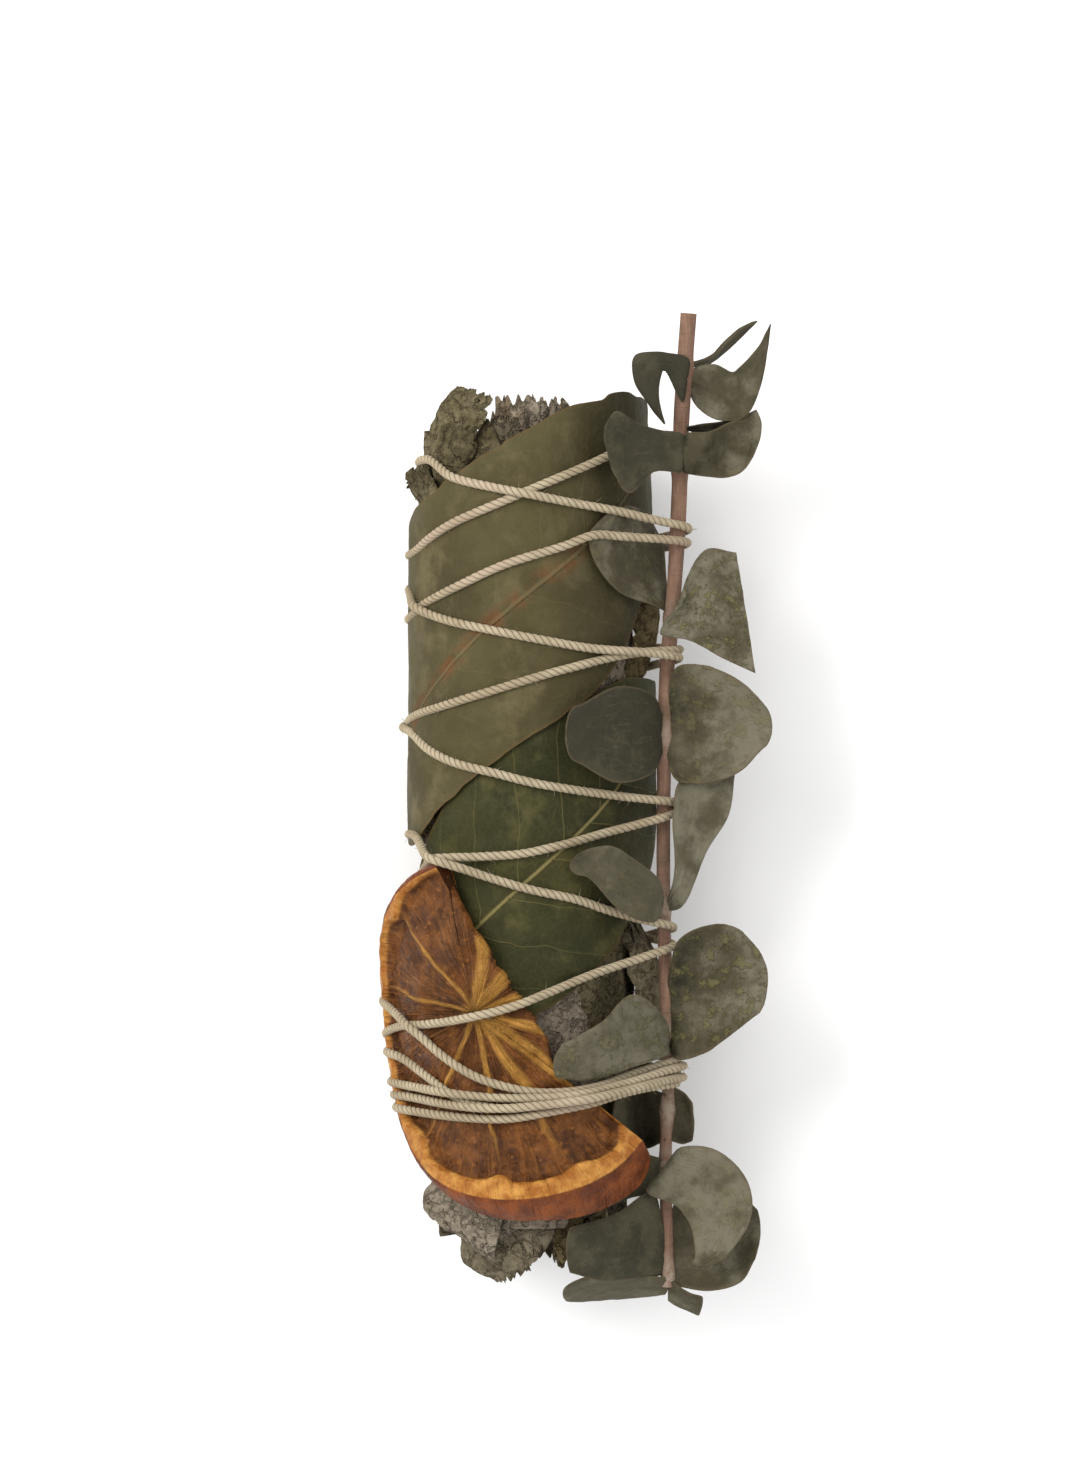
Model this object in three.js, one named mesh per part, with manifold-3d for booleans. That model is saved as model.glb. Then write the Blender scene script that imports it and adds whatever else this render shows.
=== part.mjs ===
import * as THREE from 'three';
import Module from 'manifold-3d';

// A smudge stick of white sage, 17 cm long, lying on its back along Y: two bay leaves, a sprig of eucalyptus
// and a dried orange slice are bound to it by one cotton string. Millimetres, X across, Z up, surface at z = 0.

const wasm = await Module();
wasm.setup();

// Driving dimensions of the bundle
const BUNDLE_X = -0.8;
const BUNDLE_Z = 19.8;
const HALF_WIDTH = 17.2;
const HALF_DEPTH = 17.6;
const SAGE_TOP_Y = 66;
const SAGE_BOTTOM_Y = -65;
const SAGE_COVER = 1.3;
const REST_Z = 1.74;
const LEAF_THICK = 0.7;

// Heights over the packed sage at which the bound pieces lie
const LOWER_BAY_H = 1.95;
const UPPER_BAY_H = 3;
const ORANGE_H = 4.05;

// The string
const STRING_RADIUS = 0.8;
const STRING_GAP = 0.36;
const STRING_SIDES = 6;

const rad = THREE.MathUtils.degToRad;
const clamp = THREE.MathUtils.clamp;
const lerp = THREE.MathUtils.lerp;

/** Repeatable random numbers from 0 to 1. */
function randomFrom(seed) {
  let state = seed;
  return () => {
    state = (state * 16807) % 2147483647;
    return state / 2147483647;
  };
}

/** The middle, half width and half depth of the packed sage at y. The band draws its left side in below. */
function sectionAt(y) {
  const nearTop = THREE.MathUtils.smoothstep(y, 52, 78);
  const atBand = THREE.MathUtils.smoothstep(-y, 12, 52);
  return {
    middle: BUNDLE_X + 0.9 * atBand,
    width: HALF_WIDTH * (1 - 0.04 * nearTop - 0.09 * atBand),
    depth: HALF_DEPTH * (1 - 0.04 * nearTop),
  };
}

/** A point at height h over the packed sage. phi runs round the bundle from its top, positive to the right. */
function around(phi, y, h) {
  const { middle, width, depth } = sectionAt(y);
  const lowest = REST_Z + Math.max(SAGE_COVER - h, 0);
  const z = BUNDLE_Z + (depth + h) * Math.cos(phi);
  return new THREE.Vector3(middle + (width + h) * Math.sin(phi), y, Math.max(z, lowest));
}

/** The same for a point of the upper side that is seen at x. */
function over(x, y, h) {
  const { middle, width } = sectionAt(y);
  const phi = Math.asin(clamp((x - middle) / (width + h), -1, 1));
  return around(phi, y, h).toArray();
}

/** A closed solid from its positions and triangles, with equal points merged. */
function solid(positions, triangles) {
  const kept = new Map();
  const vertices = [];
  const merged = positions.map((p) => {
    const key = p.map((c) => Math.round(c * 1e4)).join();
    if (!kept.has(key)) {
      kept.set(key, vertices.length / 3);
      vertices.push(...p);
    }
    return kept.get(key);
  });
  const faces = triangles
    .map((corners) => corners.map((i) => merged[i]))
    .filter(([a, b, c]) => a !== b && b !== c && c !== a);
  return new wasm.Manifold(
    new wasm.Mesh({
      numProp: 3,
      vertProperties: new Float32Array(vertices),
      triVerts: new Uint32Array(faces.flat()),
    }),
  );
}

/** Joins solids that overlap into one, filled where that closes a hollow. */
function fuse(solids) {
  const { numProp, vertProperties, triVerts } = solids.reduce((whole, next) => whole.add(next)).getMesh();
  const at = (i) => new THREE.Vector3().fromArray(vertProperties, i * numProp);
  const linked = Array.from({ length: vertProperties.length / numProp }, (_, i) => i);
  const rootOf = (i) => {
    let root = i;
    while (linked[root] !== root) root = linked[root];
    linked[i] = root;
    return root;
  };
  const triangles = [];
  for (let i = 0; i < triVerts.length; i += 3) triangles.push([...triVerts.slice(i, i + 3)]);
  triangles.forEach(([a, b, c]) => {
    linked[rootOf(b)] = rootOf(a);
    linked[rootOf(c)] = rootOf(a);
  });
  const volumes = new Map();
  triangles.forEach(([a, b, c]) => {
    const volume = at(a).dot(at(b).cross(at(c))) / 6;
    volumes.set(rootOf(a), (volumes.get(rootOf(a)) ?? 0) + volume);
  });
  const [[outer]] = [...volumes].sort((a, b) => b[1] - a[1]);
  const positions = linked.map((_, i) => at(i).toArray());
  return solid(positions, triangles.filter(([a]) => rootOf(a) === outer));
}

/** A named mesh from a solid. */
function piece(name, body, material) {
  const { numProp, vertProperties, triVerts } = body.getMesh();
  const positions = new Float32Array((vertProperties.length / numProp) * 3);
  for (let i = 0; i < positions.length / 3; i += 1) {
    positions.set(vertProperties.subarray(i * numProp, i * numProp + 3), i * 3);
  }
  const geometry = new THREE.BufferGeometry();
  geometry.setAttribute('position', new THREE.BufferAttribute(positions, 3));
  geometry.setIndex(new THREE.BufferAttribute(new Uint32Array(triVerts), 1));
  geometry.computeVertexNormals();
  const mesh = new THREE.Mesh(geometry, material);
  mesh.name = name;
  return mesh;
}

/**
 * A blade of even thickness over surface(t, u), a Vector3 for t from 0 at the base to 1 at the tip and
 * u from -1 to 1 across. thickness may be a function of (t, u). Both faces are split into triangles alike.
 */
function blade(surface, rows, cols, thickness) {
  const step = 0.02;
  const at = (t, u) => {
    const ti = clamp(t, 0.05, 0.95);
    const along = surface(ti + step, u).sub(surface(ti - step, u));
    const across = surface(ti, clamp(u + step, -1, 1)).sub(surface(ti, clamp(u - step, -1, 1)));
    const normal = across.cross(along).normalize();
    const half = (typeof thickness === 'function' ? thickness(t, u) : thickness) / 2;
    const middle = surface(t, u);
    return [1, -1].map((side) => middle.clone().addScaledVector(normal, side * half).toArray());
  };
  const faceSize = (rows + 1) * (cols + 1);
  const front = [];
  const back = [];
  for (let i = 0; i <= rows; i += 1) {
    for (let j = 0; j <= cols; j += 1) {
      const [f, b] = at(i / rows, (2 * j) / cols - 1);
      front.push(f);
      back.push(b);
    }
  }
  const id = (i, j) => i * (cols + 1) + j;
  const triangles = [];
  for (let i = 0; i < rows; i += 1) {
    for (let j = 0; j < cols; j += 1) {
      const [a, b, c, d] = [id(i, j), id(i, j + 1), id(i + 1, j + 1), id(i + 1, j)];
      triangles.push([a, b, c], [a, c, d]);
      triangles.push([a + faceSize, c + faceSize, b + faceSize], [a + faceSize, d + faceSize, c + faceSize]);
    }
  }
  const rim = [];
  for (let j = 0; j < cols; j += 1) rim.push(id(0, j));
  for (let i = 0; i < rows; i += 1) rim.push(id(i, cols));
  for (let j = cols; j > 0; j -= 1) rim.push(id(rows, j));
  for (let i = rows; i > 0; i -= 1) rim.push(id(i, 0));
  rim.forEach((p, k) => {
    const q = rim[(k + 1) % rim.length];
    triangles.push([p, p + faceSize, q + faceSize], [p, q + faceSize, q]);
  });
  return solid([...front, ...back], triangles);
}

/** A surface lofted through stations from base to tip. A station is [left, middle, right], or one point. */
function loft(stations) {
  const line = (k) =>
    new THREE.CatmullRomCurve3(stations.map((s) => new THREE.Vector3(...(s.length === 1 ? s[0] : s[k]))));
  const [left, middle, right] = [line(0), line(1), line(2)];
  return (t, u) => {
    const [l, m, r] = [left.getPoint(t), middle.getPoint(t), right.getPoint(t)];
    const bow = l.clone().add(r).multiplyScalar(0.5).sub(m);
    return m.addScaledVector(r.sub(l), u / 2).addScaledVector(bow, u * u);
  };
}

/** A tube along points, with a radius for each and its flats turned away from the bundle's axis. */
function tube(points, radii, sides) {
  const positions = [];
  const triangles = [];
  points.forEach((p, i) => {
    const before = points[Math.max(i - 1, 0)];
    const after = points[Math.min(i + 1, points.length - 1)];
    const along = after.clone().sub(before).normalize();
    const outward = new THREE.Vector3(p.x - BUNDLE_X, 0, p.z - BUNDLE_Z);
    outward.addScaledVector(along, -outward.dot(along)).normalize();
    const sideways = along.clone().cross(outward);
    for (let k = 0; k < sides; k += 1) {
      const angle = ((k + 0.5) / sides) * 2 * Math.PI;
      const q = p.clone().addScaledVector(outward, radii[i] * Math.cos(angle));
      positions.push(q.addScaledVector(sideways, radii[i] * Math.sin(angle)).toArray());
    }
  });
  const last = points.length - 1;
  for (let i = 0; i < last; i += 1) {
    for (let k = 0; k < sides; k += 1) {
      const [a, b] = [i * sides + k, i * sides + ((k + 1) % sides)];
      triangles.push([a, b, b + sides], [a, b + sides, a + sides]);
    }
  }
  for (let k = 1; k < sides - 1; k += 1) {
    triangles.push([0, k + 1, k], [last * sides, last * sides + k, last * sides + k + 1]);
  }
  return solid(positions, triangles);
}

// Sage

/** The packed middle of the bundle, a little uneven all round and domed at its ends. */
function packedSage() {
  const rings = 10;
  const sides = 20;
  const positions = [];
  const triangles = [];
  for (let i = 0; i <= rings; i += 1) {
    const t = i / rings;
    const y = lerp(SAGE_BOTTOM_Y, SAGE_TOP_Y, t);
    const dome = Math.min(1, 0.8 + 1.6 * Math.min(t, 1 - t));
    for (let k = 0; k < sides; k += 1) {
      const phi = (k / sides) * 2 * Math.PI;
      const dent = 0.35 * Math.sin(3 * phi + y / 17) + 0.25 * Math.sin(5 * phi - y / 9);
      positions.push(around(phi, y, -0.5 + dent - (1 - dome) * HALF_WIDTH).toArray());
    }
  }
  const [low, high] = [positions.length, positions.length + 1];
  positions.push([BUNDLE_X, SAGE_BOTTOM_Y - 1.5, BUNDLE_Z], [BUNDLE_X, SAGE_TOP_Y + 1.5, BUNDLE_Z]);
  for (let k = 0; k < sides; k += 1) {
    const n = (k + 1) % sides;
    for (let i = 0; i < rings; i += 1) {
      const [a, b] = [i * sides + k, i * sides + n];
      triangles.push([a, b, b + sides], [a, b + sides, a + sides]);
    }
    triangles.push([low, n, k], [high, rings * sides + k, rings * sides + n]);
  }
  return solid(positions, triangles);
}

/** The half width of a sage leaf at t, as a share of its widest, with a finely scalloped edge. */
function sageOutline(t, rows) {
  const lance = Math.sin(Math.PI * clamp(0.06 + 0.94 * t, 0, 1) ** 0.8) ** 0.75;
  const scallop = Math.round(t * rows) % 2 ? 1 : 0.93;
  return Math.max(lance * scallop, 0.02);
}

/** One leaf of the outer wrap, laid along the bundle. */
function wrappedLeaf({ phi, y, length, width, lean, h, turn }) {
  const rows = 5;
  const surface = (t, u) => {
    const half = (width / 2) * sageOutline(t, rows);
    const angle = phi + lean * (t - 0.5) + (u * half) / HALF_WIDTH;
    const lift = h + 0.4 * u * u + 0.2 * Math.sin(9 * t + 3 * u + turn);
    return around(angle, y + (t - 0.5) * length, Math.min(lift, SAGE_COVER - 0.35));
  };
  return blade(surface, rows, 2, LEAF_THICK);
}

/** A dried, rolled leaf that stands out of an end of the bundle. way is 1 at the top end and -1 at the bottom. */
function endLeaf({ phi, share, way, reach, width, roll, lean }) {
  const rows = 4;
  const sunk = 7;
  const endY = way > 0 ? SAGE_TOP_Y : SAGE_BOTTOM_Y;
  const surface = (t, u) => {
    const half = (width / 2) * (1 - 0.55 * t ** 3) * (Math.round(t * rows) % 2 ? 1 : 0.9);
    const radius = width / roll;
    const bend = (u * half) / radius;
    const y = endY + way * lerp(-sunk, reach, t);
    const out = share * (HALF_WIDTH - 1.5) + lean * t * t - radius * (1 - Math.cos(bend));
    const side = radius * Math.sin(bend) * way;
    return new THREE.Vector3(
      BUNDLE_X + out * Math.sin(phi) + side * Math.cos(phi),
      y + 0.6 * Math.sin(5 * u + phi),
      BUNDLE_Z + 0.4 + out * Math.cos(phi) - side * Math.sin(phi),
    );
  };
  return blade(surface, rows, 3, LEAF_THICK);
}

// Sage leaves that show at the ends of the front, each as stations from its root to its tip
const FRONT_SAGE = [
  [
    [over(-18.9, 62, 0.4), over(-15.5, 58, 0.4), over(-10.5, 60, 0.4)],
    [over(-18.2, 66, 1.5), [-14.4, 65.5, 34], [-9.2, 66.5, 36]],
    [[-17, 70, 31], [-13.4, 70, 34.5], [-8, 69.4, 37.5]],
    [[-14.6, 73.2, 32.5], [-12, 73.6, 35.5], [-7.2, 72.4, 37.5]],
    [[-12.2, 75.2, 34.5], [-10.4, 75.4, 35.5], [-6.2, 73.9, 36.5]],
  ],
  [
    [over(-17.5, 53, 0.4), over(-15.5, 53, 0.4), over(-13.5, 54, 0.4)],
    [over(-20, 57, 2), over(-18, 57.5, 2), over(-15.5, 58, 1.5)],
    [[-21.5, 60.5, 22], [-19.5, 61.2, 26], [-17.2, 62, 29]],
    [[-21.2, 61.6, 22], [-19.4, 63, 26], [-17.8, 63, 29]],
  ],
  [
    [[-7, 60, 34], [-4, 60, 34.5], [-1, 60, 34]],
    [[-6.9, 67, 34.5], [-4.5, 67, 36], [-1.5, 66.5, 35]],
    [[-6.2, 70.4, 35], [-4.4, 70.8, 36], [-2.6, 70.2, 35.5]],
  ],
  [
    [over(-19, -53, 0.2), over(-15, -53, 0.4), over(-10, -53, 0.4)],
    [over(-18.6, -57, 1), over(-14.5, -58, 1.2), over(-7, -58, 1.2)],
    [[-18.4, -62.8, 30], [-13.5, -63.5, 33.5], [-5, -62, 36]],
    [[-15.6, -66, 31], [-12, -67, 33], [-6, -70, 35.5]],
    [[-9.6, -67.4, 32], [-8, -70, 33], [-6.2, -71.6, 34]],
  ],
  [
    [[-12, -60, 28], [-7, -60, 31], [0, -60, 32]],
    [[-12.4, -67.8, 27], [-7.5, -68, 31], [1.5, -67, 32]],
    [[-11.6, -72.6, 26], [-6.5, -72.5, 30], [1, -71.5, 31]],
    [[-7.5, -75, 26], [-4.6, -76, 28], [-0.5, -74, 29]],
  ],
  [
    [[-2, 60, 31], [2, 60, 32], [7, 60, 31]],
    [[-2.6, 67, 31.5], [2, 67, 33], [7.5, 67, 31]],
    [[-1.6, 72.6, 31], [2, 73.4, 32.5], [6, 74.2, 31]],
  ],
  [
    [over(14, 22, -0.6), over(15.4, 22, -0.6), [14.4, 22, 16]],
    [over(16.4, 30.6, 1.2), [20.2, 31.4, 23], [19.4, 30.6, 17]],
    [over(16.8, 38, 1.4), [21.4, 39, 23.4], [19.6, 39, 17.5]],
    [over(15.2, 45, 0.2), [17.4, 46, 22], [16.2, 45, 17]],
  ],
  [
    [over(13, -42, 0.2), over(15, -42, 0.2), [14.2, -42, 16]],
    [over(15.8, -33, 1.4), [20.6, -33, 23.4], [18.8, -33, 16.5]],
    [over(16.2, -23, 1.4), [21.4, -23, 23.6], [19.2, -23, 16.5]],
    [over(14.6, -15, -0.2), [17.4, -14, 22.2], [15.6, -14, 17]],
  ],
  [
    [[-3.5, -58, 33], [0, -58, 34], [4, -58, 34]],
    [[-2.2, -65, 34.5], [1, -66, 36], [4.5, -65, 35]],
    [[-0.8, -69.8, 35], [1.5, -70.4, 36.5], [3.8, -66.5, 35.5]],
  ],
];

/** The whole sage bundle in one: packed middle, wrapped leaves, and the leaf ends at top and bottom. */
function sageBundle() {
  const random = randomFrom(11);
  const parts = [packedSage()];
  const columns = 6;
  [-32, 32].forEach((y, row) => {
    for (let k = 0; k < columns; k += 1) {
      const phi = rad(120) + ((k + row / 2) / columns) * rad(360);
      const wrap = { phi, y: y + 8 * (random() - 0.5), length: 66 + 6 * random(), width: 20 + 5 * random() };
      parts.push(wrappedLeaf({ ...wrap, lean: 0.5 * (random() - 0.5), h: 0.35, turn: 6 * random() }));
    }
  });
  [1, -1].forEach((way) => {
    [
      { share: 0.86, count: 7 },
      { share: 0.4, count: 3 },
    ].forEach(({ share, count }) => {
      for (let k = 0; k < count; k += 1) {
        const phi = rad(75) + ((k + 0.4 * random()) / count) * rad(360);
        const reach = 2 + 5 * random() + (way < 0 ? 4 * Math.sin(phi) : 0);
        const size = { reach, width: 10 + 5 * random(), roll: 2 + 3 * random() };
        parts.push(endLeaf({ phi, share, way, ...size, lean: 1.5 * (random() - 0.5) }));
      }
    });
  });
  FRONT_SAGE.forEach((stations) => parts.push(blade(loft(stations), 5, 4, LEAF_THICK)));
  return fuse(parts);
}

// Bay leaves

/**
 * A bay leaf laid round the bundle. root and tip are [distance round from the top, y]; the half widths run
 * from root to tip, and the two sides differ by a share. A stiff leaf stands off at its right end.
 */
const BAY_LEAVES = {
  bay_leaf_upper: {
    h: UPPER_BAY_H,
    root: [-50, 10],
    tip: [36, 73],
    upperWidths: [7, 21, 22.8, 23.3, 21.6, 19.3, 17.9, 16.2, 11.4, 1],
    lowerWidths: [9, 23, 23.2, 23.2, 24.2, 25.2, 22.5, 18, 12, 1],
    ripple: 0.12,
    standOff: 1.2,
  },
  bay_leaf_lower: {
    h: LOWER_BAY_H,
    root: [-33, -37],
    tip: [37, 25.5],
    upperWidths: [1, 10, 16, 19, 20, 19.5, 17, 12, 1],
    lowerWidths: [1, 10, 15.7, 18.6, 19.6, 19.1, 16.7, 11.8, 1],
    ripple: 0.08,
    standOff: 3.4,
  },
};

function bayLeaf({ h, root, tip, upperWidths, lowerWidths, ripple, standOff }) {
  const [ds, dy] = [tip[0] - root[0], tip[1] - root[1]];
  const length = Math.hypot(ds, dy);
  const [upper, lower] = [upperWidths, lowerWidths].map(
    (widths) => new THREE.SplineCurve(widths.map((w, i) => new THREE.Vector2(i, w))),
  );
  const layRadius = HALF_WIDTH + h;
  const surface = (t, u) => {
    const half = (u > 0 ? upper : lower).getPoint(t).y;
    const s = root[0] + t * ds - (u * half * dy) / length;
    const y = root[1] + t * dy + (u * half * ds) / length;
    const wave = ripple * Math.sin(7 * t + 4 * u) * u * u;
    const stiff = standOff * THREE.MathUtils.smoothstep(s, 20, 36);
    return around(s / layRadius, y, h + wave + stiff);
  };
  return blade(surface, 18, 8, LEAF_THICK);
}

// Eucalyptus sprig

// The stem from its cut end at the top to its growing tip
const STEM = [
  [26.5, 88.3, 32],
  [25.9, 80, 31.4],
  [25.3, 70, 30.8],
  [24.9, 56, 29.8],
  [24, 40, 28.8],
  [22.8, 26, 28],
  [22.4, 8, 27.4],
  [22.4, -13, 27],
  [22.8, -26, 26.6],
  [23.2, -42, 26.2],
  [22.7, -56, 25.8],
  [23, -68, 25.4],
  [23.2, -77, 25],
];
const STEM_RADIUS = { top: 1.4, bottom: 1 };
const STEM_NODES_Y = [78.7, 62.6, 37, 17, -12, -34.6, -46.8, -56.6, -74.8];
const EUCALYPTUS_THICK = 0.65;

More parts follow.
